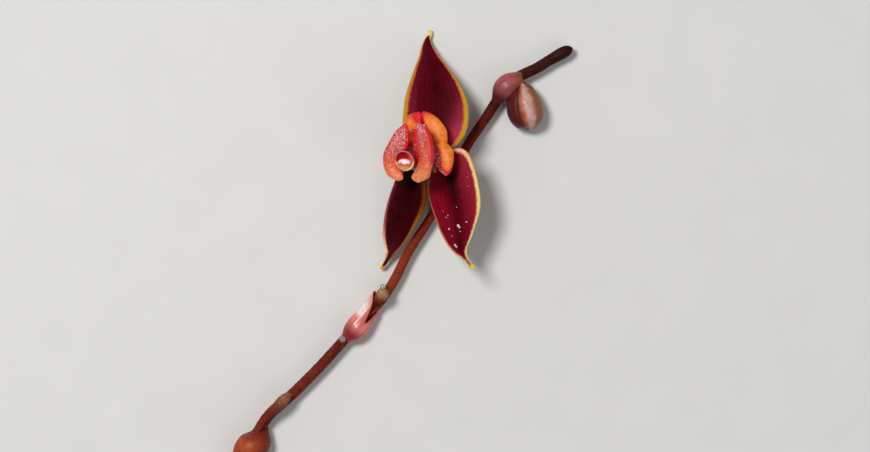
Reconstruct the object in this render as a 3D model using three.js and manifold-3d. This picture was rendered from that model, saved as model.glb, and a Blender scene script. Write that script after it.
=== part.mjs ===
// A flowering stem of a very small orchid, lying on a surface with its open flower up.
// Millimetres, +Z up. Plan positions are measured from the middle of the open flower,
// with +X to the right and +Y along the dorsal sepal. The last lines move the whole
// stem so that its origin is the middle of its box, on the surface.

import * as THREE from 'three';
import { mergeVertices } from 'three/addons/utils/BufferGeometryUtils.js';
import Module from 'manifold-3d';

// Driving dimensions, mm

const BLADE = 0.6; // thickness of sepals, petals and lip blades
const END_INSET = 0.03; // share of a blade's length between its end point and its first loop
const GAP = 0.04; // clearance between organs that grow on each other
const WELD = 0.005; // corners nearer than this become one when solids are cut or joined
const FLOWER_HEIGHT = 2.4; // middle of the flower above the surface
const SEPAL_YAW = 28; // degrees by which the sepals face to the left
const HEART_YAW = 32; // degrees by which petals, lip and column face to the left
const SEAT_RADIUS = 0.26; // hole between the sepals' bases, where the column stands
const STEM_HEIGHT = 0.62; // axis of the rachis above the surface
const BUD_HEIGHT = 0.8; // axis of the bud above the surface
const BOX_MIDDLE = [-1.76, -5.28]; // middle of the stem's box in plan

// Colours of the materials

const STEM_BROWN = 0x7d3226;
const BRACT_PINK = 0xb4555a;
const SCAR_BEIGE = 0xa98a6a;
const SEPAL_CRIMSON = 0x7a1024;
const PETAL_ORANGE = 0xf08c3c;
const LIP_CORAL = 0xe0605a;
const COLUMN_MAUVE = 0xb8608a;
const CAP_CREAM = 0xf4d8a0;
const POLLEN_YELLOW = 0xe8c040;
const OVARY_RED = 0x86302c;
const BUD_PINK = 0xb07f66;

const wasm = await Module();
wasm.setup();

// Solids and meshes

const plant = new THREE.Group();

function addPiece(name, geometry, color, roughness) {
  geometry.computeVertexNormals();
  const material = new THREE.MeshStandardMaterial({ color, roughness, metalness: 0 });
  const mesh = new THREE.Mesh(geometry, material);
  mesh.name = name;
  plant.add(mesh);
}

function toManifold(geometry) {
  return new wasm.Manifold(new wasm.Mesh({
    numProp: 3,
    vertProperties: new Float32Array(geometry.getAttribute('position').array),
    triVerts: new Uint32Array(geometry.index.array),
  }));
}

// Cutting leaves corners that almost coincide. They are welded, and the triangles that
// this leaves without a width are dropped.
function toGeometry(manifold) {
  const mesh = manifold.getMesh();
  const geometry = new THREE.BufferGeometry();
  geometry.setAttribute('position', new THREE.BufferAttribute(mesh.vertProperties, 3));
  geometry.setIndex(new THREE.BufferAttribute(mesh.triVerts, 1));
  const welded = mergeVertices(geometry, WELD);
  const kept = [];
  for (let i = 0; i < welded.index.count; i += 3) {
    const corners = [0, 1, 2].map((k) => welded.index.getX(i + k));
    if (new Set(corners).size === 3) {
      kept.push(...corners);
    }
  }
  welded.setIndex(kept);
  return welded;
}

function bare(geometry) {
  geometry.deleteAttribute('normal');
  geometry.deleteAttribute('uv');
  return mergeVertices(geometry);
}

function cut(geometry, ...tools) {
  return toGeometry(tools.reduce((left, tool) => left.subtract(toManifold(tool)), toManifold(geometry)));
}

function join(...geometries) {
  return toGeometry(geometries.map(toManifold).reduce((sum, piece) => sum.add(piece)));
}

function signedVolume(points, triangles) {
  let volume = 0;
  for (const [a, b, c] of triangles) {
    volume += points[a].dot(new THREE.Vector3().crossVectors(points[b], points[c]));
  }
  return volume;
}

function meshOf(points, triangles) {
  const outward = signedVolume(points, triangles) > 0;
  const faces = triangles.map(([a, b, c]) => (outward ? [a, b, c] : [a, c, b]));
  const geometry = new THREE.BufferGeometry().setFromPoints(points);
  geometry.setIndex(faces.flat());
  return geometry;
}

// Two triangles for each cell between two loops of points. Where swapped says so, the
// cell's other diagonal is used, so that a thin blade is split alike on both faces.
function band(triangles, first, second, count, swapped) {
  for (let j = 0; j < count; j++) {
    const k = (j + 1) % count;
    const [a, b, c, d] = [first + j, first + k, second + k, second + j];
    if (swapped(j)) {
      triangles.push([a, b, d], [b, c, d]);
    } else {
      triangles.push([a, b, c], [a, c, d]);
    }
  }
}

// A closed skin over a row of loops, with a point closing each end.
function skin(loops, start, end, swapped = () => false) {
  const count = loops[0].length;
  const points = [...loops.flat(), start, end];
  const triangles = [];
  for (let i = 0; i + 1 < loops.length; i++) {
    band(triangles, i * count, (i + 1) * count, count, swapped);
  }
  const last = (loops.length - 1) * count;
  for (let j = 0; j < count; j++) {
    const k = (j + 1) % count;
    triangles.push([points.length - 2, k, j], [points.length - 1, last + j, last + k]);
  }
  return meshOf(points, triangles);
}

// A sleeve: the last loop joins the first one again.
function ringSkin(loops) {
  const count = loops[0].length;
  const triangles = [];
  for (let i = 0; i < loops.length; i++) {
    band(triangles, i * count, ((i + 1) % loops.length) * count, count, () => false);
  }
  return meshOf(loops.flat(), triangles);
}

// A value at s (0 to 1) along a row of numbers, smooth through each of them.
function graph(...values) {
  const curve = new THREE.SplineCurve(values.map((value, i) => new THREE.Vector2(i, value)));
  return (s) => curve.getPoint(THREE.MathUtils.clamp(s, 0, 1)).y;
}

function path(points) {
  return new THREE.CatmullRomCurve3(points.map(([x, y, z]) => new THREE.Vector3(x, y, z)));
}

// A round body along a curve, its radius given along its length. ribDepth is the share
// of the radius by which its lengthwise ribs stand out.
function tube(curve, radius, { rings, sides, ribs = 0, ribDepth = 0 }) {
  const frames = curve.computeFrenetFrames(rings);
  const loops = [];
  for (let i = 0; i <= rings; i++) {
    const centre = curve.getPointAt(i / rings);
    const loop = [];
    for (let j = 0; j < sides; j++) {
      const angle = (2 * Math.PI * j) / sides;
      const r = radius(i / rings) * (1 + ribDepth * Math.cos(ribs * angle));
      loop.push(centre.clone()
        .addScaledVector(frames.normals[i], r * Math.cos(angle))
        .addScaledVector(frames.binormals[i], r * Math.sin(angle)));
    }
    loops.push(loop);
  }
  return skin(loops, curve.getPointAt(0), curve.getPointAt(1));
}

// The open flower is flat in a plane that faces up and to the left. A point of it is
// given by its plan position and by its height over that plane.

function flowerPoint(x, y, over, yaw) {
  const turn = THREE.MathUtils.degToRad(yaw);
  return new THREE.Vector3(x, y, FLOWER_HEIGHT + x * Math.tan(turn) + over / Math.cos(turn));
}

// Plan position of the point that mirrors (x, y, over) in the flower's own middle plane.
function mirrored(x, y, over, yaw) {
  return [-x - 2 * over * Math.sin(THREE.MathUtils.degToRad(yaw)), y];
}

// A point of the flower's heart, given across, along and out of the flower's own plane.
function heartPoint(across, along, out) {
  const turn = THREE.MathUtils.degToRad(HEART_YAW);
  return flowerPoint(across * Math.cos(turn) - out * Math.sin(turn), along, out, HEART_YAW);
}

// A blade between two edges. Each station holds both edges' plan positions, first the
// left or inner edge. over(s, t, x, y) is the height over the flower's plane, and
// plump(s) the share of the full thickness along the blade. t runs from -1 to 1 across.
function blade({ stations, over, yaw, plump, rows, columns, flip = false }) {
  const edge = (k) => new THREE.SplineCurve(stations.map((p) => new THREE.Vector2(p[k], p[k + 1])));
  const edges = [edge(0), edge(2)];
  const middle = (s, t) => {
    const a = edges[0].getPoint(THREE.MathUtils.clamp(s, 0, 1));
    const b = edges[1].getPoint(THREE.MathUtils.clamp(s, 0, 1));
    const plan = a.clone().lerp(b, (t + 1) / 2);
    const height = over(s, t, plan.x, plan.y);
    const [x, y] = flip ? mirrored(plan.x, plan.y, height, yaw) : [plan.x, plan.y];
    return flowerPoint(x, y, height, yaw);
  };
  const step = 0.01;
  const faceAt = (s, t, side) => {
    const along = middle(Math.min(s + step, 1), t).sub(middle(Math.max(s - step, 0), t));
    const across = middle(s, Math.min(t + step, 1)).sub(middle(s, Math.max(t - step, -1)));
    const normal = new THREE.Vector3().crossVectors(across, along).normalize();
    const half = (BLADE / 2) * plump(s) * Math.sqrt(1 - t ** 4);
    return middle(s, t).addScaledVector(normal, side * half);
  };
  const loops = [];
  for (let i = 0; i <= rows; i++) {
    const s = END_INSET + ((1 - 2 * END_INSET) * i) / rows;
    const loop = [];
    for (let j = 0; j < 2 * columns; j++) {
      const t = j <= columns ? -Math.cos((Math.PI * j) / columns) : Math.cos((Math.PI * (j - columns)) / columns);
      loop.push(faceAt(s, t, j <= columns ? 1 : -1));
    }
    loops.push(loop);
  }
  return skin(loops, middle(0, 0), middle(1, 0), (j) => j >= columns);
}

// Rachis: the zigzag stem, thinner inside each sheath where the sheath grows on it

const NODE_NECK = 0.18; // radius of the rachis inside a sheath

const RACHIS_POINTS = [
  [-10.40, -16.85, STEM_HEIGHT],
  [-9.95, -16.05, STEM_HEIGHT],
  [-9.05, -14.45, STEM_HEIGHT],
  [-8.65, -13.70, STEM_HEIGHT],
  [-8.15, -12.97, STEM_HEIGHT],
  [-7.00, -11.93, STEM_HEIGHT],
  [-5.60, -10.53, STEM_HEIGHT],
  [-4.35, -9.15, STEM_HEIGHT],
  [-3.50, -8.17, STEM_HEIGHT],
  [-2.72, -7.42, STEM_HEIGHT],
  [-1.95, -6.35, STEM_HEIGHT],
  [-1.12, -4.73, STEM_HEIGHT],
  [-0.05, -3.05, STEM_HEIGHT],
  [0.50, -2.05, STEM_HEIGHT],
  [1.05, -1.00, STEM_HEIGHT],
  [1.82, 0.60, STEM_HEIGHT],
  [2.73, 1.95, STEM_HEIGHT],
  [3.28, 2.82, STEM_HEIGHT + 0.05],
  [3.78, 3.70, STEM_HEIGHT + 0.1],
  [4.40, 4.07, STEM_HEIGHT + 0.1],
  [5.25, 4.47, STEM_HEIGHT + 0.05],
  [6.10, 4.98, STEM_HEIGHT],
  [6.80, 5.35, STEM_HEIGHT],
];

const rachisCurve = path(RACHIS_POINTS);

// Where along the rachis a plan height y is reached, or 1 past its tip. The stem only
// ever rises in y, so the place is found by halving.
const HALVINGS = 40;

function rachisAt(y) {
  let [low, high] = [0, 1];
  for (let i = 0; i < HALVINGS; i++) {
    const mid = (low + high) / 2;
    if (rachisCurve.getPointAt(mid).y < y) {
      low = mid;
    } else {
      high = mid;
    }
  }
  return high;
}

// Radius of the free stem, from the cut end to the tip.
const stemRadius = graph(0.3, 0.29, 0.28, 0.27, 0.26, 0.24, 0.23, 0.23, 0.24, 0.25, 0.26);

// Plan heights between which each sheath covers the stem, lowest sheath first.
const SHEATHED = [[-16.35, -13.8], [-9.4, -7.3], [-3.1, -1.6], [2.5, 4.1], [4.74, 9.0]];
const sheathedSpans = SHEATHED.map(([from, to]) => [rachisAt(from), rachisAt(to)]);
const NECK_RAMP = 0.012; // share of the stem's length over which it thins to a neck

function rachisRadius(s, extra) {
  let r = stemRadius(s);
  for (const [a, b] of sheathedSpans) {
    const into = THREE.MathUtils.smoothstep(s, a, a + NECK_RAMP);
    const out = b < 1 ? THREE.MathUtils.smoothstep(s, b - NECK_RAMP, b) : 0;
    r += (NODE_NECK - r) * into * (1 - out);
  }
  return r + extra;
}

const RACHIS_RINGS = 84;
const RACHIS_SIDES = 8;

function rachis(extra) {
  return tube(rachisCurve, (s) => rachisRadius(s, extra), { rings: RACHIS_RINGS, sides: RACHIS_SIDES });
}

// Bracts: thin funnel-shaped sheaths with an oblique mouth

const WALL = 0.11; // thickness of a sheath at its mouth
const THIN_WALL = 0.04; // least thickness at its foot, where it is flush with the stem
const NECK_CLEARANCE = 0.06; // between a sheath's inner wall and the neck of the stem
const UP = new THREE.Vector3(0, 0, 1);

// A point and direction on a curve that goes straight on past its end.
function pastEnd(curve, s) {
  const direction = curve.getTangentAt(Math.min(s, 1));
  const point = curve.getPointAt(Math.min(s, 1));
  return [point.addScaledVector(direction, Math.max(s - 1, 0) * curve.getLength()), direction];
}

// longSide is the angle at which the mouth reaches furthest, counted from the sheath's
// own right side towards the viewer. lean is how much further it reaches there.
function sheath({ axis, radius, longSide, lean, rows = 8, sides = 12 }, solid = false) {
  const curve = path(axis);
  const loop = (s, inset) => {
    const points = [];
    for (let j = 0; j < sides; j++) {
      const angle = (2 * Math.PI * j) / sides;
      const reach = 1 + lean * s * Math.cos(angle - THREE.MathUtils.degToRad(longSide));
      const [centre, direction] = pastEnd(curve, s * reach);
      const right = new THREE.Vector3().crossVectors(direction, UP).normalize();
      const front = new THREE.Vector3().crossVectors(right, direction);
      const r = radius(s) - inset;
      points.push(centre.addScaledVector(right, r * Math.cos(angle)).addScaledVector(front, r * Math.sin(angle)));
    }
    return points;
  };
  const outer = [];
  const inner = [];
  for (let i = 0; i <= rows; i++) {
    const s = i / rows;
    const wall = THREE.MathUtils.clamp(radius(s) - NODE_NECK - NECK_CLEARANCE, THIN_WALL, WALL);
    outer.push(loop(s, solid ? -GAP : 0));
    inner.unshift(loop(s, wall));
  }
  if (solid) {
    return skin(outer, pastEnd(curve, 0)[0], pastEnd(curve, 1)[0]);
  }
  return ringSkin([...outer, ...inner]);
}

// What lies on the surface is pressed flat there: this block is cut off below it.
const BLOCK_WIDTH = 60;
const BLOCK_DEPTH = 2;
const belowSurface = bare(new THREE.BoxGeometry(BLOCK_WIDTH, BLOCK_WIDTH, BLOCK_DEPTH)
  .translate(0, 0, -BLOCK_DEPTH / 2));

const bract1 = sheath({
  axis: [[-9.95, -16.05, STEM_HEIGHT], [-9.5, -15.25, 0.65], [-9.05, -14.45, 0.7], [-8.72, -13.85, 0.72]],
  radius: graph(0.31, 0.4, 0.56, 0.69, 0.72, 0.69, 0.61),
  longSide: 330,
  lean: 0.22,
});

const bract2 = sheath({
  axis: [[-4.33, -9.15, STEM_HEIGHT], [-3.5, -8.22, 0.64], [-2.9, -7.4, 0.7]],
  radius: graph(0.27, 0.38, 0.49, 0.54, 0.53, 0.49),
  longSide: 225,
  lean: 0.28,
});

const bract3 = sheath({
  axis: [[0.1, -2.8, STEM_HEIGHT], [0.42, -2.18, 0.66], [0.74, -1.56, 0.76]],
  radius: graph(0.27, 0.36, 0.5, 0.58, 0.58, 0.55),
  longSide: 225,
  lean: 0.2,
});

const bract4Form = {
  axis: [[3.27, 2.78, 0.67], [3.55, 3.25, 0.7], [3.9, 3.62, 0.73], [4.5, 3.86, 0.76]],
  radius: graph(0.27, 0.38, 0.54, 0.61, 0.6, 0.53, 0.47),
  longSide: 120,
  lean: 0.1,
};
const bract4 = sheath(bract4Form);

// The youngest sheath is closed round the growing tip.
const bract5 = sheath({
  axis: [[6.02, 4.93, STEM_HEIGHT], [6.6, 5.26, STEM_HEIGHT], [7.12, 5.52, STEM_HEIGHT]],
  radius: graph(0.27, 0.3, 0.32, 0.32, 0.31, 0.27, 0.13),
  longSide: 180,
  lean: 0.05,
  rows: 7,
  sides: 10,
});

// Spent pedicels: stalks that stay when a flower drops, each with a scar at its end

const spentPedicel1 = tube(
  path([[-8.75, -13.9, 0.93], [-8.4, -13.3, 1.0], [-7.9, -12.72, 1.05], [-7.3, -12.1, 1.13]]),
  graph(0.09, 0.1, 0.1, 0.11, 0.14, 0.22, 0.27, 0.2),
  { rings: 14, sides: 10 },
);

const spentPedicel2 = tube(
  path([[-3.25, -7.85, 0.96], [-2.92, -7.4, 1.05], [-2.62, -7.0, 1.11], [-2.32, -6.62, 1.18]]),
  graph(0.1, 0.11, 0.12, 0.15, 0.24, 0.3, 0.22),
  { rings: 12, sides: 10 },
);

// Pedicel and ovary of the open flower, under its sepals

const flowerPedicel = tube(
  path([[0.44, -2.12, 0.96], [0.64, -1.6, 1.04], [0.76, -1.05, 1.13], [0.7, -0.5, 1.2]]),
  graph(0.09, 0.1, 0.1, 0.1, 0.11, 0.14),
  { rings: 12, sides: 8 },
);

const ovary = tube(
  path([[0.66, -0.4, 1.27], [0.52, -0.14, 1.52], [0.34, -0.02, 1.8], [0.17, 0, 2.08]]),
  graph(0.13, 0.22, 0.27, 0.27, 0.25, 0.28),
  { rings: 10, sides: 24, ribs: 6, ribDepth: 0.1 },
);

// Sepals

const SEPAL_LENGTH = 6.4; // from the flower's middle to the dorsal sepal's tip
const DORSAL_DROOP = 2.08; // how far its tip bends back from the flower's plane
const LATERAL_DROOP = 0.7; // the same for a lateral sepal at that length
const MARGIN_ROLL = 0.25; // how far the margins bend back
const TAIL_START = 0.85; // where along a sepal its tail begins

const sepalOver = (droop) => (s, t, x, y) => {
  const bend = droop * (Math.hypot(x, y) / SEPAL_LENGTH) ** 2;
  return -bend - MARGIN_ROLL * t * t * Math.sin(Math.PI * Math.min(s, TAIL_START));
};

const tailed = graph(1, 1, 1, 1, 1, 0.95, 0.85, 0.6, 0.4, 0.3);

const dorsalSepal = blade({
  stations: [
    [-0.24, 0.26, 0.24, 0.26],
    [-0.85, 0.42, 0.85, 0.42],
    [-1.20, 0.55, 1.235, 0.55],
    [-1.36, 0.90, 1.55, 0.88],
    [-1.425, 1.45, 1.81, 1.42],
    [-1.40, 2.15, 1.885, 2.15],
    [-1.31, 3.00, 1.74, 3.00],
    [-1.05, 3.85, 1.33, 3.85],
    [-0.78, 4.62, 0.80, 4.60],
    [-0.565, 5.15, 0.38, 5.13],
    [-0.46, 5.60, 0.10, 5.60],
    [-0.26, 6.00, -0.02, 5.96],
    [-0.13, 6.28, 0.08, 6.28],
    [-0.06, 6.43, 0.04, 6.43],
  ],
  over: sepalOver(DORSAL_DROOP),
  yaw: SEPAL_YAW,
  plump: tailed,
  rows: 18,
  columns: 6,
});

const lateralSepalRight = blade({
  stations: [
    [0.03, -0.30, 0.27, 0.10],
    [-0.02, -0.55, 1.00, 0.34],
    [-0.06, -0.85, 1.50, 0.42],
    [-0.10, -1.20, 1.84, 0.17],
    [-0.13, -1.60, 2.08, -0.35],
    [-0.10, -2.03, 2.30, -1.10],
    [0.06, -2.60, 2.45, -1.95],
    [0.25, -3.15, 2.45, -2.60],
    [0.50, -3.80, 2.27, -3.30],
    [0.85, -4.42, 2.02, -4.00],
    [1.20, -4.80, 1.80, -4.45],
    [1.45, -5.00, 1.76, -4.75],
    [1.72, -5.24, 1.86, -5.10],
    [1.96, -5.48, 2.06, -5.35],
    [2.15, -5.60, 2.25, -5.50],
  ],
  over: sepalOver(LATERAL_DROOP),
  yaw: SEPAL_YAW,
  plump: tailed,
  rows: 18,
  columns: 6,
});

const lateralSepalLeft = blade({
  stations: [
    [-0.27, 0.10, -0.05, -0.30],
    [-0.95, 0.35, -0.08, -0.55],
    [-1.35, 0.40, -0.12, -0.85],
    [-1.58, 0.15, -0.16, -1.20],
    [-1.68, -0.35, -0.19, -1.60],
    [-1.78, -1.05, -0.19, -2.05],
    [-2.02, -1.75, -0.36, -2.65],
    [-2.22, -2.40, -0.62, -3.15],
    [-2.37, -3.20, -0.98, -3.80],
    [-2.42, -4.00, -1.36, -4.33],
    [-2.32, -4.48, -1.72, -4.70],
    [-2.26, -4.80, -1.93, -4.90],
    [-2.31, -5.14, -2.12, -5.16],
    [-2.46, -5.43, -2.27, -5.42],
    [-2.56, -5.62, -2.38, -5.62],
  ],
  over: sepalOver(LATERAL_DROOP),
  yaw: SEPAL_YAW,
  plump: tailed,
  rows: 18,
  columns: 6,
});

// The column stands in a round hole between the sepals' bases.
const facing = flowerPoint(0, 0, 1, SEPAL_YAW).sub(flowerPoint(0, 0, 0, SEPAL_YAW));
const seat = tube(
  new THREE.LineCurve3(
    flowerPoint(0, 0, 0, SEPAL_YAW).addScaledVector(facing, -1),
    flowerPoint(0, 0, 0, SEPAL_YAW).addScaledVector(facing, 1),
  ),
  () => SEAT_RADIUS,
  { rings: 1, sides: 16 },
);

// Petals: two lobes each, the outer margin bent back, on a short claw

const PETAL_OUT = 0.95; // height of a petal's inner margin over the flower's plane
const PETAL_BEND = 0.35; // how far its outer margin lies behind the inner one

const swell = (s) => Math.sin(Math.PI * THREE.MathUtils.clamp(s, 0, 1));
const petalOver = (s, t) => PETAL_OUT - PETAL_BEND * swell(s) * ((t + 1) / 2) ** 2;
const roundEnded = graph(0.3, 0.8, 1, 1, 1, 1, 1, 1, 0.8, 0.3);

function petal(side) {
  const claw = path([[0.32, 0.14, 0.5], [0.6, 0.3, 0.64], [0.98, 0.5, 0.84]].map(
    ([across, along, out]) => heartPoint(side * across, along, out).toArray(),
  ));
  return join(
    blade({
      stations: [
        [-0.40, 2.24, -0.40, 2.24],
        [-0.43, 2.08, -0.13, 2.19],
        [-0.32, 1.88, 0.27, 1.96],
        [-0.175, 1.60, 0.60, 1.62],
        [-0.05, 1.25, 0.80, 1.25],
        [0.075, 0.875, 0.82, 0.86],
        [0.20, 0.60, 0.86, 0.625],
        [0.18, 0.30, 1.07, 0.35],
        [0.185, 0.00, 1.15, 0.00],
        [0.275, -0.375, 1.10, -0.42],
        [0.45, -0.66, 1.00, -0.74],
        [0.76, -0.95, 0.82, -0.95],
      ],
      over: petalOver,
      yaw: HEART_YAW,
      plump: roundEnded,
      rows: 14,
      columns: 6,
      flip: side < 0,
    }),
    tube(claw, graph(0.09, 0.1, 0.12), { rings: 4, sides: 8 }),
  );
}

// Column: it stands in the seat between the sepals, arches forward and widens into a
// hood at its tip. fat widens it, for cutting its neighbours clear.

const HOOD_RADIUS = 0.5;

const columnCurve = path([
  heartPoint(0, 0, -0.26),
  heartPoint(0, 0.02, 0.3),
  heartPoint(0, 0.18, 0.95),
  heartPoint(-0.07, 0.04, 1.75),
  heartPoint(-0.12, -0.32, 2.3),
].map((point) => point.toArray()));

const columnRadius = graph(0.19, 0.19, 0.2, 0.22, 0.25, 0.28, 0.32, 0.42, HOOD_RADIUS);

function columnBody(fat) {
  return tube(columnCurve, (s) => columnRadius(s) + fat, { rings: 16, sides: 14 });
}

// The hood's own frame: its middle, the way it faces, and its right and upper side.
const hoodMiddle = columnCurve.getPointAt(1);
const hoodFacing = columnCurve.getTangentAt(1);
const hoodRight = new THREE.Vector3().crossVectors(new THREE.Vector3(0, 1, 0), hoodFacing).normalize();
const hoodUpper = new THREE.Vector3().crossVectors(hoodFacing, hoodRight);

// A ball squashed along the hood's own directions, placed by its middle in the hood.
function hoodBall([right, upper, out], [width, height, depth], segments, rows) {
  const frame = new THREE.Matrix4().makeBasis(hoodRight, hoodUpper, hoodFacing);
  const middle = hoodMiddle.clone()
    .addScaledVector(hoodRight, right)
    .addScaledVector(hoodUpper, upper)
    .addScaledVector(hoodFacing, out);
  return bare(new THREE.SphereGeometry(1, segments, rows)
    .scale(width, height, depth)
    .applyMatrix4(frame.setPosition(middle)));
}

const column = cut(columnBody(0), hoodBall([0, 0, 0.02], [0.42, 0.42, 0.32], 16, 10));

// Anther cap: a small dome in the hood, hollow behind, over the two pollinia

const antherCap = cut(
  hoodBall([0, -0.08, 0.03], [0.35, 0.26, 0.2], 14, 8),
  hoodBall([0, -0.08, -0.06], [0.27, 0.18, 0.15], 10, 7),
);

const pollinarium = join(
  hoodBall([-0.1, -0.07, -0.05], [0.085, 0.1, 0.075], 8, 6),
  hoodBall([0.1, -0.07, -0.05], [0.085, 0.1, 0.075], 8, 6),
  hoodBall([0, -0.1, -0.06], [0.09, 0.04, 0.04], 6, 5),
);

// Lip: two blades, one on each side of the column, on a bridge that passes under it

const LIP_OUT = 1.95; // height of the lip's blades over the flower's plane
const LIP_CROWN = 0.12; // how far a blade's middle stands over its margins
const LIP_TILT = 0.15; // how far its outer margin stands over its middle

const lipOver = (side) => (s, t) => LIP_OUT + swell(s) * (LIP_CROWN * (1 - t * t) + LIP_TILT * side * t);

const lipRight = blade({
  stations: [
    [-0.475, 1.61, -0.475, 1.61],
    [-0.725, 1.48, -0.25, 1.52],
    [-0.84, 1.25, -0.085, 1.25],
    [-0.85, 0.95, 0.025, 0.92],
    [-0.825, 0.60, 0.10, 0.55],
    [-0.765, 0.25, 0.15, 0.20],
    [-0.625, -0.05, 0.15, -0.10],
    [-0.60, -0.35, 0.11, -0.36],
    [-0.685, -0.65, 0.02, -0.65],
    [-0.80, -0.89, -0.04, -0.90],
    [-0.92, -1.08, -0.15, -1.10],
    [-0.63, -1.30, -0.60, -1.30],
  ],
  over: lipOver(1),
  yaw: HEART_YAW,
  plump: roundEnded,
  rows: 14,
  columns: 6,
});

const lipLeft = blade({
  stations: [
    [-1.26, 1.635, -1.26, 1.635],
    [-1.425, 1.51, -1.135, 1.43],
    [-1.70, 1.275, -1.05, 1.175],
    [-1.90, 1.00, -1.05, 0.875],
    [-2.10, 0.65, -1.10, 0.575],
    [-2.275, 0.325, -1.25, 0.30],
    [-2.35, 0.00, -1.50, 0.05],
    [-2.335, -0.35, -1.62, -0.30],
    [-2.25, -0.65, -1.63, -0.55],
    [-2.125, -0.90, -1.50, -0.74],
    [-1.875, -1.065, -1.41, -0.90],
    [-1.65, -1.13, -1.40, -1.04],
    [-1.50, -1.125, -1.48, -1.125],
  ],
  over: lipOver(-1),
  yaw: HEART_YAW,
  plump: roundEnded,
  rows: 14,
  columns: 6,
});

const bridge = tube(
  path([
    heartPoint(-0.85, 0.05, 1.8),
    heartPoint(-0.42, -0.32, 1.5),
    heartPoint(0, -0.48, 1.3),
    heartPoint(0.42, -0.32, 1.5),
    heartPoint(0.85, 0.05, 1.8),
  ].map((point) => point.toArray())),
  graph(0.14, 0.12, 0.14, 0.12, 0.14),
  { rings: 14, sides: 8 },
);

const foot = tube(
  path([heartPoint(0, -0.46, 1.3), heartPoint(0, -0.42, 0.9), heartPoint(0, -0.36, 0.5)]
    .map((point) => point.toArray())),
  graph(0.13, 0.1, 0.1),
  { rings: 5, sides: 8 },
);

const lip = cut(join(lipRight, lipLeft, bridge, foot), columnBody(GAP));

// Bud and its stalk, beside the rachis

const budPedicel = tube(
  path([[4.05, 3.55, 0.92], [4.4, 3.62, 0.98], [4.68, 3.62, 1.0], [4.72, 3.47, 0.95]]),
  graph(0.1, 0.11, 0.13, 0.16),
  { rings: 8, sides: 8 },
);

const bud = tube(
  path([
    [4.66, 3.42, BUD_HEIGHT + 0.08],
    [4.68, 3.0, BUD_HEIGHT + 0.02],
    [4.75, 2.5, BUD_HEIGHT],
    [4.87, 2.0, BUD_HEIGHT],
    [5.01, 1.41, BUD_HEIGHT - 0.05],
  ]),
  graph(0.2, 0.56, 0.75, 0.83, 0.86, 0.83, 0.74, 0.56, 0.16),
  { rings: 13, sides: 18, ribs: 3, ribDepth: 0.03 },
);

addPiece('rachis', rachis(0), STEM_BROWN, 0.6);
addPiece('bract_1', cut(bract1, rachis(GAP), belowSurface), BRACT_PINK, 0.5);
addPiece('bract_2', cut(bract2, rachis(GAP)), BRACT_PINK, 0.5);
addPiece('bract_3', cut(bract3, rachis(GAP)), BRACT_PINK, 0.5);
addPiece('bract_4', cut(bract4, rachis(GAP)), BRACT_PINK, 0.5);
addPiece('bract_5', cut(bract5, rachis(GAP)), BRACT_PINK, 0.5);
addPiece('spent_pedicel_1', spentPedicel1, SCAR_BEIGE, 0.6);
addPiece('spent_pedicel_2', spentPedicel2, SCAR_BEIGE, 0.6);
addPiece('flower_pedicel', flowerPedicel, OVARY_RED, 0.5);
addPiece('ovary', ovary, OVARY_RED, 0.5);
addPiece('dorsal_sepal', cut(dorsalSepal, seat, belowSurface), SEPAL_CRIMSON, 0.5);
addPiece('lateral_sepal_left', cut(lateralSepalLeft, seat), SEPAL_CRIMSON, 0.5);
addPiece('lateral_sepal_right', cut(lateralSepalRight, seat), SEPAL_CRIMSON, 0.5);
addPiece('petal_left', petal(-1), PETAL_ORANGE, 0.4);
addPiece('petal_right', petal(1), PETAL_ORANGE, 0.4);
addPiece('lip', lip, LIP_CORAL, 0.6);
addPiece('column', column, COLUMN_MAUVE, 0.4);
addPiece('anther_cap', antherCap, CAP_CREAM, 0.2);
addPiece('pollinarium', pollinarium, POLLEN_YELLOW, 0.4);
addPiece('bud_pedicel', budPedicel, OVARY_RED, 0.5);
addPiece('bud', cut(bud, belowSurface, sheath(bract4Form, true)), BUD_PINK, 0.5);

plant.position.set(-BOX_MIDDLE[0], -BOX_MIDDLE[1], 0);

export default plant;
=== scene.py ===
import math

import bpy
import numpy as np
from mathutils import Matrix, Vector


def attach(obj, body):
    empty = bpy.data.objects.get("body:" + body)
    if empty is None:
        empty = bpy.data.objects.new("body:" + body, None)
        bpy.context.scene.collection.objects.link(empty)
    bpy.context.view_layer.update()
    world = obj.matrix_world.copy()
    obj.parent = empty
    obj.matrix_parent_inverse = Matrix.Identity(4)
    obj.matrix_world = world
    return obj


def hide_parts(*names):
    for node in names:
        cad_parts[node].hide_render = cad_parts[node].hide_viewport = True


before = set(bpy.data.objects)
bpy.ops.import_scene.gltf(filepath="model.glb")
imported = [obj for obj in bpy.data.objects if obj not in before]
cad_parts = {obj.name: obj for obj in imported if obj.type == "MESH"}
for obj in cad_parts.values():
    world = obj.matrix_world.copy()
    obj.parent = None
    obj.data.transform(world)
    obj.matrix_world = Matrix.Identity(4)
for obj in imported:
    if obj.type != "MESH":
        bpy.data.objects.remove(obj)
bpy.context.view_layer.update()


# Rachis: the zigzag stem that carries one flower after another. It is one living axis,
# brown red, a little rough, thicker where it was cut from the plant, and it passes through
# every sheath. Low scurfy warts cover it. Towards its tip it is painted near black red, painted shade.

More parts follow.
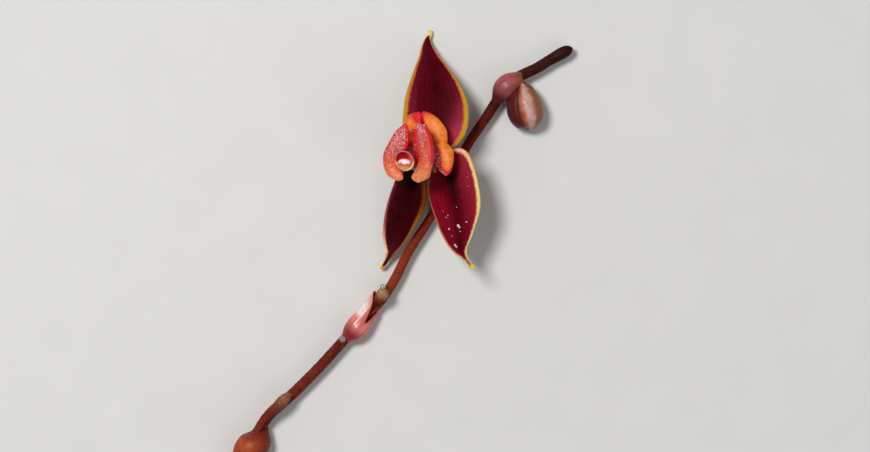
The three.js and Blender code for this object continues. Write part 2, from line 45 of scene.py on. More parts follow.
MM = 0.001
FLOWER_MIDDLE = (1.76, 5.28, 0.0)  # middle of the open flower in the frame; plans start there
RACHIS_LINE = [
    (-10.4, -16.85, 0.62), (-9.95, -16.05, 0.62), (-9.05, -14.45, 0.62), (-8.65, -13.7, 0.62),
    (-8.15, -12.97, 0.62), (-7.0, -11.93, 0.62), (-5.6, -10.53, 0.62), (-4.35, -9.15, 0.62),
    (-3.5, -8.17, 0.62), (-2.72, -7.42, 0.62), (-1.95, -6.35, 0.62), (-1.12, -4.73, 0.62),
    (-0.05, -3.05, 0.62), (0.5, -2.05, 0.62), (1.05, -1.0, 0.62), (1.82, 0.6, 0.62),
    (2.73, 1.95, 0.62), (3.28, 2.82, 0.67), (3.78, 3.7, 0.72), (4.4, 4.07, 0.72),
    (5.25, 4.47, 0.67), (6.1, 4.98, 0.62), (6.8, 5.35, 0.62),
]
RACHIS_GIRTH = [0.3, 0.285, 0.275, 0.265, 0.255, 0.24, 0.225, 0.23, 0.25, 0.27, 0.265]


def to_frame(points):
    return (np.asarray(points, float) + FLOWER_MIDDLE) * MM


def graph(values, s):
    """What a row of numbers, or of rows of numbers, is at s (0 to 1), smooth through each."""
    values = np.asarray(values, float)
    s = np.asarray(s, float)
    padded = np.concatenate([values[:1], values, values[-1:]])
    place = np.clip(s, 0, 1) * (len(values) - 1)
    first = np.minimum(place.astype(int), len(values) - 2)
    w = place - first
    if values.ndim == 2:
        w = w[..., None]
    p0, p1, p2, p3 = (padded[first + k] for k in range(4))
    t1 = (p2 - p0) / 2
    t2 = (p3 - p1) / 2
    return (2 * p1 - 2 * p2 + t1 + t2) * w**3 + (3 * p2 - 3 * p1 - 2 * t1 - t2) * w**2 + t1 * w + p1


def mixed(a, b, start, end, k):
    return (a * (end - k) + b * (k - start)) / (end - start)


def smooth_line(points, count):
    """Evenly spaced points on a smooth line through the given ones, without overshoot."""
    p = np.asarray(points, float)
    p = np.vstack([2 * p[0] - p[1], p, 2 * p[-1] - p[-2]])
    dense = []
    for a, b, c, d in zip(p, p[1:], p[2:], p[3:]):
        steps = [np.linalg.norm(v) ** 0.5 for v in (b - a, c - b, d - c)]
        k0, k1, k2, k3 = np.cumsum([0, *steps])
        k = np.linspace(k1, k2, 24, endpoint=False)[:, None]
        ab, bc, cd = mixed(a, b, k0, k1, k), mixed(b, c, k1, k2, k), mixed(c, d, k2, k3, k)
        dense.extend(mixed(mixed(ab, bc, k0, k2, k), mixed(bc, cd, k1, k3, k), k1, k2, k))
    dense.append(p[-2])
    dense = np.array(dense)
    length = np.concatenate([[0], np.cumsum(np.linalg.norm(np.diff(dense, axis=0), axis=1))])
    wanted = np.linspace(0, length[-1], count)
    return np.stack([np.interp(wanted, length, dense[:, k]) for k in range(3)], axis=1)


class Nodes:
    """A tree of nodes. Each call adds a node and hands back what it gives."""

    def add(self, kind, inputs=None, output=0, **settings):
        node = self.tree.nodes.new(kind)
        for name, value in settings.items():
            setattr(node, name, value)
        for key, value in (inputs or {}).items():
            if isinstance(value, bpy.types.NodeSocket):
                self.tree.links.new(value, node.inputs[key])
            else:
                node.inputs[key].default_value = value
        return node.outputs[output]

    def math(self, operation, a, b=0.0):
        return self.add("ShaderNodeMath", {0: a, 1: b}, operation=operation)

    def times(self, a, b):
        return self.math("MULTIPLY", a, b)


def light(colour):
    """Red, green and blue as seen on a screen, 0 to 255, as light. What a node gives stays."""
    if isinstance(colour, bpy.types.NodeSocket):
        return colour
    shares = np.array(colour) / 255
    linear = np.where(shares > 0.04045, ((shares + 0.055) / 1.055) ** 2.4, shares / 12.92)
    return (*map(float, linear), 1.0)


class Finish(Nodes):
    """A surface. Sizes are in millimetres, and a word among the values names a mark of the mesh.

    flesh is how much light goes in and how deep, coat how much gloss lies on it and how rough,
    clear how much light goes through and ior how far that bends.
    """

    def __init__(self, name, flesh=(0.0, 50.0), coat=(0.0, 0.03), specular=0.5, clear=0.0, ior=1.5):
        self.material = bpy.data.materials.new(name)
        self.material.use_nodes = True
        self.tree = self.material.node_tree
        self.shader = self.tree.nodes["Principled BSDF"]
        for socket, value in (
            ("Subsurface Weight", flesh[0]), ("Subsurface Scale", flesh[1] * MM), ("Coat Weight", coat[0]),
            ("Coat Roughness", coat[1]), ("Specular IOR Level", specular), ("Transmission Weight", clear),
            ("IOR", ior),
        ):
            self.shader.inputs[socket].default_value = value
        place = self.add("ShaderNodeTexCoord", output="Object")
        self.place = self.add("ShaderNodeMapping", {"Vector": place, "Scale": (1000, 1000, 1000)})

    def add(self, kind, inputs=None, output=0, **settings):
        inputs = dict(inputs or {})
        for key, value in inputs.items():
            if isinstance(value, str):
                inputs[key] = super().add("ShaderNodeAttribute", output="Fac", attribute_name=value)
        return super().add(kind, inputs, output, **settings)

    def noise(self, size, detail=2.0):
        return self.add("ShaderNodeTexNoise", {"Vector": self.place, "Scale": 1 / size, "Detail": detail})

    def cells(self, size):
        return self.add("ShaderNodeTexVoronoi", {"Vector": self.place, "Scale": 1 / size})

    def level(self, value, low, high, give_low=0.0, give_high=1.0):
        inputs = {"Value": value, "From Min": low, "From Max": high, "To Min": give_low, "To Max": give_high}
        return self.add("ShaderNodeMapRange", inputs, interpolation_type="SMOOTHSTEP")

    def patches(self, size, detail, *levels):
        return self.level(self.noise(size, detail), *levels)

    def scale(self, value, stops):
        """Colours along a value: stops are (place, red, green, blue)."""
        colour = self.add("ShaderNodeValToRGB", {"Fac": value})
        band = colour.node.color_ramp
        while len(band.elements) < len(stops):
            band.elements.new(0.5)
        for element, (place, *shade) in zip(band.elements, stops):
            element.position = place
            element.color = light(shade)
        return colour

    def blend(self, under, upper, share, strength=None, way="MIX"):
        """One colour over another. Its share is times strength, where that is given."""
        if strength is not None:
            share = self.times(share, strength)
        inputs = {"Fac": share, "Color1": light(under), "Color2": light(upper)}
        return self.add("ShaderNodeMixRGB", inputs, blend_type=way)

    def give(self, colour, pattern, rough_low, rough_high, *reliefs):
        """The material. Its roughness follows a pattern from low to high.

        Each relief is what raises it and how far, and the next one lies on it.
        """
        roughness = self.level(pattern, 0, 1, rough_low, rough_high)
        given = {"Base Color": colour, "Roughness": roughness}
        for height, depth in reliefs:
            under = {"Normal": given["Normal"]} if "Normal" in given else {}
            inputs = {"Height": height, "Distance": depth * MM, "Strength": 1.0, **under}
            given["Normal"] = self.add("ShaderNodeBump", inputs)
        for socket, value in given.items():
            self.tree.links.new(value, self.shader.inputs[socket])
        return self.material


class Recipe(Nodes):
    """A tree that makes a mesh from a host object, with named inputs."""

    def __init__(self, name, inputs):
        self.tree = bpy.data.node_groups.new(name, "GeometryNodeTree")
        sockets = self.tree.interface
        sockets.new_socket("Geometry", in_out="INPUT", socket_type="NodeSocketGeometry")
        for label, (kind, value) in inputs.items():
            sockets.new_socket(label, in_out="INPUT", socket_type="NodeSocket" + kind).default_value = value
        sockets.new_socket("Material", in_out="INPUT", socket_type="NodeSocketMaterial")
        sockets.new_socket("Geometry", in_out="OUTPUT", socket_type="NodeSocketGeometry")
        self.given = self.tree.nodes.new("NodeGroupInput").outputs

    def named(self, name, kind="FLOAT"):
        return self.add("GeometryNodeInputNamedAttribute", {"Name": name}, data_type=kind)

    def close(self, geometry):
        real = self.add("GeometryNodeRealizeInstances", {"Geometry": geometry})
        inputs = {"Geometry": real, "Material": self.given["Material"]}
        painted = self.add("GeometryNodeSetMaterial", inputs)
        end = self.tree.nodes.new("NodeGroupOutput")
        self.tree.links.new(painted, end.inputs[0])
        return self.tree


def made_by(recipe, host, values):
    """The plain mesh that a recipe makes from a host object. The host is then removed."""
    modifier = host.modifiers.new(recipe.name, "NODES")
    modifier.node_group = recipe
    for item in recipe.interface.items_tree:
        if item.in_out == "INPUT" and item.name in values:
            modifier[item.identifier] = values[item.name]
    bpy.context.view_layer.update()
    graph_now = bpy.context.evaluated_depsgraph_get()
    mesh = bpy.data.meshes.new_from_object(
        host.evaluated_get(graph_now), preserve_all_data_layers=True, depsgraph=graph_now
    )
    host.modifiers.remove(modifier)
    bpy.data.objects.remove(host)
    return mesh


def placed(name, mesh):
    piece = bpy.data.objects.new(name, mesh)
    bpy.context.collection.objects.link(piece)
    return piece


def show(name, mesh, node=None, finish=None):
    """A finished piece of the plant. It stands for the CAD node that is named."""
    mesh.name = name
    mesh.shade_smooth()
    if finish:
        mesh.materials.append(finish)
    piece = placed(name, mesh)
    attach(piece, "root")
    if node:
        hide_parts(node)
    return piece


def put_mark(mesh, name, values, kind="FLOAT"):
    mark = mesh.attributes.new(name, kind, "POINT")
    field = "vector" if kind == "FLOAT_VECTOR" else "value"
    mark.data.foreach_set(field, np.asarray(values, np.float32).ravel())


# The recipe of a stalk, grown along a line of edges: girth is its radius on each point.
grow = Recipe("stalk", {
    "Sides": ("Int", 24), "Ribs": ("Float", 0.0), "Rib share": ("Float", 0.0),
    "Skin size": ("Float", 0.0001), "Skin depth": ("Float", 0.0),
})
given = grow.given
line = grow.add("GeometryNodeMeshToCurve", {"Mesh": given["Geometry"]})
place = grow.add("GeometryNodeSplineParameter", output="Factor")
line = grow.add("GeometryNodeStoreNamedAttribute", {"Geometry": line, "Name": "along", "Value": place})
line = grow.add("GeometryNodeSetCurveNormal", {"Curve": line}, mode="Z_UP")
ring = grow.add("GeometryNodeCurvePrimitiveCircle", {"Resolution": given["Sides"], "Radius": 1.0})
inputs = {"Geometry": ring, "Name": "ring", "Value": grow.add("GeometryNodeInputPosition")}
ring = grow.add("GeometryNodeStoreNamedAttribute", inputs, data_type="FLOAT_VECTOR")
girth = grow.named("girth")
inputs = {"Curve": line, "Profile Curve": ring, "Scale": girth, "Fill Caps": True}
tube = grow.add("GeometryNodeCurveToMesh", inputs)
turned = grow.add("ShaderNodeSeparateXYZ", {0: grow.named("ring", "FLOAT_VECTOR")}).node.outputs
angle = grow.math("ARCTAN2", turned["Y"], turned["X"])
rib = grow.math("COSINE", grow.times(angle, given["Ribs"]))
rib = grow.times(grow.times(rib, given["Rib share"]), girth)
inputs = {"Scale": grow.math("DIVIDE", 1.0, given["Skin size"]), "Detail": 3.0}
skin = grow.math("SUBTRACT", grow.add("ShaderNodeTexNoise", inputs), 0.5)
skin = grow.times(skin, given["Skin depth"])
inputs = {0: grow.add("GeometryNodeInputNormal"), "Scale": grow.math("ADD", rib, skin)}
shift = grow.add("ShaderNodeVectorMath", inputs, operation="SCALE")
STALK = grow.close(grow.add("GeometryNodeSetPosition", {"Geometry": tube, "Offset": shift}))


def stalk(name, node, finish, points, girth, rings, sides, skin, ribs=(0.0, 0.0)):
    """A stalk as a piece, from its line and its radius in plan millimetres, ends rounded.

    skin is how wide and how deep its unevenness is, ribs their number and share of the radius.
    """
    mesh = bpy.data.meshes.new("line")
    line = to_frame(smooth_line(points, rings))
    mesh.from_pydata(line.tolist(), [(i, i + 1) for i in range(rings - 1)], [])
    put_mark(mesh, "girth", graph(girth, np.linspace(0, 1, rings)) * MM)
    mesh = made_by(STALK, placed("line", mesh), {
        "Sides": sides, "Ribs": ribs[0], "Rib share": ribs[1], "Skin size": skin[0] * MM,
        "Skin depth": skin[1] * MM, "Material": finish,
    })
    return show(name, mesh, node)


HAIR_SIDES = 4
HAIR_TIP = 0.3  # how thick a hair's tip is, of its foot
WART_HEIGHT = 0.6  # how high a wart is, of its width
DROP_HEIGHT = 0.7
STUD_SIZES = (0.55, 1.25)  # the smallest and largest of each kind, of their given size


def studding_recipe(name, form, on_faces):
    """Small like shapes set on a surface, or on given points that hold their own direction."""
    grow = Recipe(name, {
        "Density": ("Float", 1e8), "Length": ("Float", 0.0001), "Thickness": ("Float", 0.00001),
        "Spread": ("Float", 0.3), "Seed": ("Int", 1),
    })
    given = grow.given
    if on_faces:
        thick = grow.times(given["Density"], grow.named("downy"))
        inputs = {"Mesh": given["Geometry"], "Density": thick, "Seed": given["Seed"]}
        spread = grow.add("GeometryNodeDistributePointsOnFaces", inputs).node.outputs
        points, out = spread["Points"], spread["Normal"]
    else:
        points, out = given["Geometry"], grow.named("out", "FLOAT_VECTOR")
    if form == "hair":
        inputs = {
            "Vertices": HAIR_SIDES, "Radius Top": grow.times(given["Thickness"], HAIR_TIP),
            "Radius Bottom": given["Thickness"], "Depth": given["Length"],
        }
        shape = grow.add("GeometryNodeMeshCone", inputs)
    elif form == "wart":
        shape = grow.add("GeometryNodeMeshIcoSphere", {"Radius": given["Thickness"], "Subdivisions": 1})
        shape = grow.add("GeometryNodeTransform", {"Geometry": shape, "Scale": (1, 1, WART_HEIGHT)})
    else:
        inputs = {"Segments": 20, "Rings": 12, "Radius": given["Thickness"]}
        shape = grow.add("GeometryNodeMeshUVSphere", inputs)
        shape = grow.add("GeometryNodeTransform", {"Geometry": shape, "Scale": (1, 1, DROP_HEIGHT)})
    inputs = {0: (-1, -1, -1), 1: (1, 1, 1), "Seed": given["Seed"]}
    wild = grow.add("FunctionNodeRandomValue", inputs, data_type="FLOAT_VECTOR")
    wild = grow.add("ShaderNodeVectorMath", {0: wild, "Scale": given["Spread"]}, operation="SCALE")
    way = grow.add("ShaderNodeVectorMath", {0: out, 1: wild}, operation="ADD")
    turn = grow.add("FunctionNodeAlignRotationToVector", {"Vector": way}, axis="Z")
    if form == "drop":
        size = grow.named("size")
    else:
        inputs = {2: STUD_SIZES[0], 3: STUD_SIZES[1], "Seed": given["Seed"]}
        size = grow.add("FunctionNodeRandomValue", inputs, 1, data_type="FLOAT")
    inputs = {"Points": points, "Instance": shape, "Rotation": turn, "Scale": size}
    return grow.close(grow.add("GeometryNodeInstanceOnPoints", inputs))


WARTS = studding_recipe("warts", "wart", True)


def copy_of(piece):
    return placed("host", piece.data.copy())


def studs(name, recipe, host, finish, seed, spread, thickness, length=0.0, density=0.0):
    """Warts or hairs as a piece. Sizes are in millimetres, density is for a square millimetre."""
    mesh = made_by(recipe, host, {
        "Density": density * 1e6, "Length": length * MM, "Thickness": thickness * MM, "Spread": spread,
        "Seed": seed, "Material": finish,
    })
    return show(name, mesh)


skin = Finish("stem_skin", flesh=(0.05, 0.2), specular=0.06)
# Along the stem the colour runs brown red. From about 0.84 to the tip it is painted near black red, painted
# shade.
lengthwise = skin.scale("along", [
    (0.0, 118, 40, 22), (0.24, 108, 36, 18), (0.32, 96, 28, 14), (0.48, 142, 54, 26),
    (0.58, 124, 36, 16), (0.76, 124, 36, 22), (0.84, 62, 16, 12), (1.0, 50, 16, 12),
])
mottle = skin.patches(0.35, 3, 0.35, 0.7)
share = skin.level("along", 0.55, 0.8, 0.3, 0.06)
colour = skin.blend(lengthwise, (150, 62, 32), mottle, share)
colour = skin.blend(colour, (186, 128, 96), skin.patches(0.07, 2, 0.6, 0.72), share)
colour = skin.blend(colour, (48, 10, 9), skin.patches(0.12, 2, 0.5, 0.25), 0.6)
STEM_SKIN = skin.give(colour, mottle, 0.6, 0.42, (skin.noise(0.09, 4), 0.035))
rachis = stalk(
    "rachis_skin", "rachis", STEM_SKIN, RACHIS_LINE, RACHIS_GIRTH, rings=420, sides=28,
    skin=(0.16, 0.04),
)
put_mark(rachis.data, "downy", np.ones(len(rachis.data.vertices)))
studs(
    "rachis_warts", WARTS, copy_of(rachis), STEM_SKIN, seed=3, spread=0.2, thickness=0.026,
    density=55,
)


# Bracts: thin funnel-shaped sheaths, one at each node, each grown in a ring on the stem. The
# mouth is oblique and fringed with fine hairs, and hairs stand along the sheath's ribs. The
# second one is split down its front, and the youngest is still closed round the stem's tip.

BRACTS = {
    "bract_1": {
        "axis": [(-9.95, -16.05, 0.62), (-9.44, -15.28, 0.69), (-8.97, -14.48, 0.76), (-8.62, -13.72, 0.75)],
        "girth": [0.31, 0.44, 0.64, 0.79, 0.82, 0.72, 0.38], "long_side": 330, "lean": 0.1,
        "foot": (104, 28, 20), "body": (172, 76, 40), "mouth": (112, 36, 26), "lining": (84, 12, 10),
        "gloss": 0.05, "pale": 0.0, "painted_right_shade": 0.7,
    },
    # The second sheath's lining is red, and it is brightened as a painted glow of light through its thin
    # wall.
    "bract_2": {
        "axis": [(-4.33, -9.15, 0.62), (-3.46, -8.24, 0.64), (-2.81, -7.3, 0.78)],
        "girth": [0.27, 0.48, 0.58, 0.56, 0.49, 0.43, 0.4], "long_side": 196, "lean": 0.19,
        "split": 0.33, "split_at": 64,
        "foot": (138, 30, 34), "body": (244, 130, 118), "mouth": (222, 138, 112), "lining": (216, 28, 20),
        "gloss": 0.6, "pale": 0.95, "painted_right_shade": 0.2,
    },
    "bract_3": {
        "axis": [(0.1, -2.8, 0.62), (0.42, -2.18, 0.66), (0.74, -1.56, 0.76)],
        "girth": [0.27, 0.36, 0.5, 0.58, 0.58, 0.55], "long_side": 225, "lean": 0.2,
        "foot": (96, 26, 26), "body": (170, 78, 74), "mouth": (160, 76, 70), "lining": (104, 12, 12),
        "gloss": 0.5, "pale": 0.2, "painted_right_shade": 0.3,
    },
    "bract_4": {
        "axis": [(3.27, 2.78, 0.67), (3.55, 3.25, 0.7), (3.9, 3.62, 0.73), (4.5, 3.86, 0.76)],
        "girth": [0.27, 0.38, 0.54, 0.61, 0.6, 0.53, 0.47], "long_side": 120, "lean": 0.1,
        "foot": (84, 24, 24), "body": (176, 90, 94), "mouth": (130, 76, 46), "lining": (80, 12, 12),
        "gloss": 0.12, "pale": 0.0, "painted_right_shade": 0.2,
    },
    # The youngest sheath is painted as dark as the stem's tip, painted shade.
    "bract_5": {
        "axis": [(6.02, 4.93, 0.62), (6.6, 5.26, 0.62), (7.12, 5.52, 0.62)],
        "girth": [0.275, 0.283, 0.287, 0.29, 0.295, 0.3, 0.3, 0.294, 0.28, 0.25, 0.19, 0.07],
        "long_side": 180, "lean": 0.0,
        "foot": (50, 15, 11), "body": (50, 16, 12), "mouth": (44, 14, 11), "lining": (40, 10, 8),
        "gloss": 0.0, "pale": 0.0, "painted_right_shade": 0.0,
    },
}
BRACT_WALL = 0.05
BRACT_ROWS = 44
BRACT_SIDES = 72
BRACT_RIBS = 9
RIB_HEIGHT = 0.012
SPLIT_WIDTH = math.radians(26)
CLEAR_OF_FLOOR = 0.35


def skin_mesh(name, rings, marks, start=None, end=None, sleeve=False):
    """A closed skin over rings of points (rows, sides, 3), in plan millimetres.

    start and end close its ends with a point each. A sleeve's last ring joins its first.
    """
    rows, sides = rings.shape[:2]
    points = rings.reshape(-1, 3)
    values = {key: np.asarray(value, float).reshape(-1) for key, value in marks.items()}
    next_side = [*range(1, sides), 0]
    faces = []
    for i in range(rows if sleeve else rows - 1):
        low, high = i * sides, (i + 1) % rows * sides
        faces += [(low + j, low + k, high + k, high + j) for j, k in enumerate(next_side)]
    if start is not None:
        first, last = len(points), (rows - 1) * sides
        points = np.vstack([points, start, end])
        for key, value in values.items():
            values[key] = np.concatenate([value, [value[:sides].mean()], [value[last:].mean()]])
        for j, k in enumerate(next_side):
            faces += [(first, k, j), (first + 1, last + j, last + k)]
    corners = np.array([(*face, face[-1])[:4] for face in faces])
    a, b, c, d = (points[corners[:, k]] - points.mean(axis=0) for k in range(4))
    if (a * (np.cross(b, c) + np.cross(c, d))).sum() < 0:  # the volume shows which way they face
        faces = [face[::-1] for face in faces]
    mesh = bpy.data.meshes.new(name)
    mesh.from_pydata(to_frame(points).tolist(), [], faces)
    for key, value in values.items():
        put_mark(mesh, key, value)
    return mesh


def bract_rings(form, inset, rows):
    """Rings of a sheath's wall, and the angles of their points.

    The wall reaches furthest on its long side, and falls back where it is split.
    """
    line = smooth_line(form["axis"], 200)
    length = np.linalg.norm(np.diff(line, axis=0), axis=1).sum()
    angles = np.arange(BRACT_SIDES) * math.tau / BRACT_SIDES
    reach = form["lean"] * np.cos(angles - math.radians(form["long_side"]))
    if "split" in form:
        from_split = (angles - math.radians(form["split_at"])) / SPLIT_WIDTH
        reach = reach - form["split"] * np.exp(-from_split**2)
    rings = []
    for s in np.linspace(0, 1, rows):
        place = s * (1 + s * reach)
        at = np.clip(place, 0, 1) * (len(line) - 1)
        near = np.minimum(at.astype(int), len(line) - 2)
        ahead = line[near + 1] - line[near]
        centre = line[near] + ahead * (at - near)[:, None]
        ahead /= np.linalg.norm(ahead, axis=1)[:, None]
        centre += ahead * (np.maximum(place - 1, 0) * length)[:, None]
        right = np.cross(ahead, (0, 0, 1))
        right /= np.linalg.norm(right, axis=1)[:, None]
        front = np.cross(right, ahead)
        rib = RIB_HEIGHT * np.cos(BRACT_RIBS * angles) * math.sin(math.pi * min(s, 0.8))
        r = (graph(form["girth"], s) + rib - inset)[:, None]
        rings.append(centre + right * r * np.cos(angles)[:, None] + front * r * np.sin(angles)[:, None])
    return np.array(rings), angles


def bract_mesh(name, form):
    """The sheath's outer wall, then back down inside it."""
    outer, angles = bract_rings(form, 0.0, BRACT_ROWS)
    inner, angles = bract_rings(form, BRACT_WALL, BRACT_ROWS)
    rings = np.concatenate([outer, inner[::-1]])
    rings[:, :, 2] = np.maximum(rings[:, :, 2], 0.0)
    up = np.linspace(0, 1, BRACT_ROWS)[:, None] * np.ones(BRACT_SIDES)
    along = np.concatenate([up, up[::-1]])
    inside = np.concatenate([np.zeros_like(up), np.ones_like(up)])
    rib = 0.5 + 0.5 * np.cos(BRACT_RIBS * angles) * np.ones((2 * BRACT_ROWS, 1))
    facing = np.cos(angles) * np.ones((2 * BRACT_ROWS, 1))
    downy = rib**8 * (1 - inside) * np.clip(along * 1.4, 0, 1) * (rings[:, :, 2] > CLEAR_OF_FLOOR)
    marks = {"along": along, "inside": inside, "rib": rib, "facing": facing, "downy": downy}
    return skin_mesh(name, rings, marks, sleeve=True)


def bract_finish(name, form):
    """A sheath's skin. Its foot's colour also clouds it and runs along its ribs, and as painted shade
    it darkens its right side.

    pale is how far a painted highlight whitens the left of its mouth and how red the edges of its
    split are, a painted glow of light through the wall; painted_right_shade is how far the painted
    shade darkens its right side.
    """
    foot, body, mouth, lining = (form[part] for part in ("foot", "body", "mouth", "lining"))
    gloss, pale = form["gloss"], form["pale"]
    skin = Finish(name, flesh=(0.25, 0.3), coat=(gloss, 0.22), specular=0.06 + 0.4 * gloss)
    colour = skin.scale("along", [(0.0, *foot), (0.16, *foot), (0.45, *body), (0.72, *body), (1.0, *mouth)])
    clouds = skin.patches(0.5, 3, 0.3, 0.75)
    colour = skin.blend(colour, foot, clouds, 0.4)
    colour = skin.blend(colour, foot, skin.level("rib", 0.86, 1.0), 0.18)
    # A painted highlight whitens the left of the mouth, as far as pale says.
    left = skin.times(skin.level("facing", -0.1, -0.75), skin.level("along", 0.48, 0.62))
    left = skin.times(left, skin.level("along", 0.94, 0.76, 0.3, 1.0))
    colour = skin.blend(colour, (255, 234, 226), left, pale)
    # Painted shade darkens the right side, away from the lamp.
    colour = skin.blend(colour, foot, skin.level("facing", 0.0, 0.9), form["painted_right_shade"])
    # The split's edges take the lining's red, a painted glow of light through the thin wall.
    split_edges = skin.times(skin.level("facing", -0.25, 0.25), skin.level("along", 0.76, 0.97))
    colour = skin.blend(colour, lining, split_edges, 0.8 * pale)
    colour = skin.blend(colour, lining, "inside")
    return skin.give(colour, clouds, 0.5, 0.34, (skin.noise(0.1, 3), 0.012), (skin.cells(0.06), 0.006))


def hair_finish(name, colour, other):
    skin = Finish(name, flesh=(0.2, 0.1), coat=(0.3, 0.2))
    tint = skin.blend(colour, other, skin.patches(0.3, 2, 0.4, 0.7))
    return skin.give(tint, skin.noise(0.2), 0.35, 0.55)


def tufts(points, outs):
    """Points in plan millimetres for hairs to stand on, each with its own way out."""
    mesh = bpy.data.meshes.new("tufts")
    mesh.from_pydata(to_frame(points).tolist(), [], [])
    put_mark(mesh, "out", outs, "FLOAT_VECTOR")
    return placed("tufts", mesh)


HAIRS = studding_recipe("hairs", "hair", True)
FRINGE = studding_recipe("fringe", "hair", False)
BRACT_HAIR = hair_finish("bract_hair", (176, 92, 76), (222, 160, 142))
for bract_name, form in BRACTS.items():
    mesh = bract_mesh(bract_name, form)
    finish = bract_finish(bract_name + "_skin", form)
    bract = show(bract_name + "_skin", mesh, bract_name, finish)
    studs(
        bract_name + "_hairs", HAIRS, copy_of(bract), BRACT_HAIR, seed=5, spread=0.5,
        thickness=0.006, length=0.07, density=90,
    )
    walls, angles = bract_rings(form, BRACT_WALL / 2, 30)
    rim_out = walls[-1] - walls[-3]
    rim_out /= np.linalg.norm(rim_out, axis=1)[:, None]
    clear = walls[-1][:, 2] > CLEAR_OF_FLOOR
    if bract_name != "bract_5":
        studs(
            bract_name + "_fringe", FRINGE, tufts(walls[-1][clear][::2], rim_out[clear][::2]),
            BRACT_HAIR, seed=7, spread=0.4, thickness=0.007, length=0.07,
        )


# Spent pedicels: the stalks that stay when a flower drops. Each ends in a dry, pale joint,
# where the ovary broke away.

def scar_finish(name, foot, dry, cork):
    skin = Finish(name, flesh=(0.05, 0.2), specular=0.08)
    colour = skin.scale("along", [
        (0.0, *foot), (0.5, *foot), (0.7, 110, 52, 32), (0.86, *dry), (1.0, 120, 76, 50),
    ])
    flecks = skin.patches(0.12, 3, 0.4, 0.7)
    colour = skin.blend(colour, cork, flecks, skin.level("along", 0.55, 0.85, 0.0, 0.45))
    return skin.give(colour, flecks, 0.55, 0.4, (skin.noise(0.1, 3), 0.02))


stalk(
    "spent_pedicel_1_skin", "spent_pedicel_1",
    scar_finish("first_scar_skin", (110, 36, 19), (136, 84, 60), (172, 124, 92)),
    [(-8.9, -14.15, 0.76), (-8.75, -13.9, 0.92), (-8.4, -13.3, 1.0), (-7.82, -12.62, 1.05),
     (-7.08, -11.86, 1.13)],
    [0.09, 0.1, 0.1, 0.11, 0.14, 0.22, 0.28, 0.26, 0.15], rings=70, sides=28, skin=(0.15, 0.03),
)
stalk(
    "spent_pedicel_2_skin", "spent_pedicel_2",
    scar_finish("second_scar_skin", (84, 10, 8), (162, 120, 88), (196, 160, 126)),
    [(-3.42, -8.08, 0.76), (-3.25, -7.85, 0.94), (-2.9, -7.42, 1.05), (-2.56, -7.02, 1.11),
     (-2.22, -6.62, 1.18)],
    [0.08, 0.085, 0.09, 0.1, 0.12, 0.21, 0.3, 0.31, 0.2], rings=70, sides=28, skin=(0.15, 0.03),
)


# Pedicel and ovary of the open flower. The slender pedicel ends in a joint, and the ribbed
# ovary above it carries the sepals.

def stalk_finish(name, pale, deep):
    skin = Finish(name, flesh=(0.15, 0.3), coat=(0.1, 0.25), specular=0.3)
    colour = skin.blend(deep, pale, skin.patches(0.4, 3, 0.3, 0.7))
    flecks = skin.patches(0.08, 2, 0.58, 0.72)
    colour = skin.blend(colour, (196, 120, 96), flecks, 0.5)
    return skin.give(colour, flecks, 0.5, 0.4, (skin.noise(0.07, 3), 0.01))


OVARY_SKIN = stalk_finish("ovary_skin", (150, 62, 48), (96, 26, 24))
stalk(
    "flower_pedicel_skin", "flower_pedicel", OVARY_SKIN,
    [(0.36, -2.34, 0.76), (0.44, -2.12, 0.94), (0.64, -1.6, 1.04), (0.76, -1.05, 1.13), (0.7, -0.5, 1.2)],
    [0.09, 0.1, 0.1, 0.1, 0.11, 0.14], rings=60, sides=20, skin=(0.12, 0.015),
)
stalk(
    "ovary_skin_piece", "ovary", OVARY_SKIN,
    [(0.7, -0.48, 1.21), (0.52, -0.14, 1.52), (0.34, -0.02, 1.8), (0.16, 0, 2.16)],
    [0.13, 0.22, 0.27, 0.27, 0.25, 0.29], rings=60, sides=72, skin=(0.1, 0.015), ribs=(6.0, 0.1),
)


# Sepals: three thin tailed blades that spread from the ovary's top in one plane, which faces
# up and to the left. They are crimson and faintly cellular, with a pale yellow border.

FLOWER_HEIGHT = 2.4
SEPAL_YAW = math.radians(28)
SEPAL_LENGTH = 6.4
SEPAL_HALF = 0.1
SEPAL_COLUMNS = 40
MARGIN_ROLL = 0.25
MARGIN_RIPPLE = 0.02
TEETH_CLEARANCE = 0.12
BLADE_END = 0.035  # the share of a blade's length over which its end rounds off

DORSAL_OUTLINE = [
    (-0.24, 0.26, 0.24, 0.26), (-0.85, 0.42, 0.85, 0.42), (-1.2, 0.55, 1.235, 0.55),
    (-1.38, 0.9, 1.55, 0.88), (-1.435, 1.45, 1.8, 1.42), (-1.4, 2.15, 1.88, 2.15),
    (-1.3, 3.0, 1.74, 3.0), (-1.05, 3.85, 1.32, 3.85), (-0.77, 4.62, 0.78, 4.6),
    (-0.555, 5.15, 0.36, 5.13), (-0.45, 5.6, 0.08, 5.6), (-0.28, 6.0, -0.05, 5.96),
    (-0.12, 6.27, 0.06, 6.27), (-0.09, 6.42, 0.07, 6.42),
]
RIGHT_OUTLINE = [
    (0.03, -0.3, 0.27, 0.1), (-0.02, -0.55, 1.0, 0.34), (-0.06, -0.85, 1.5, 0.42),
    (-0.1, -1.2, 1.84, 0.17), (-0.13, -1.6, 2.08, -0.35), (-0.1, -2.03, 2.3, -1.1),
    (0.06, -2.6, 2.45, -1.95), (0.25, -3.15, 2.45, -2.6), (0.5, -3.8, 2.27, -3.3),
    (0.85, -4.42, 2.02, -4.0), (1.2, -4.8, 1.8, -4.45), (1.48, -4.99, 1.74, -4.78),
    (1.73, -5.22, 1.83, -5.11), (1.97, -5.46, 2.04, -5.37), (2.15, -5.61, 2.24, -5.5),
]
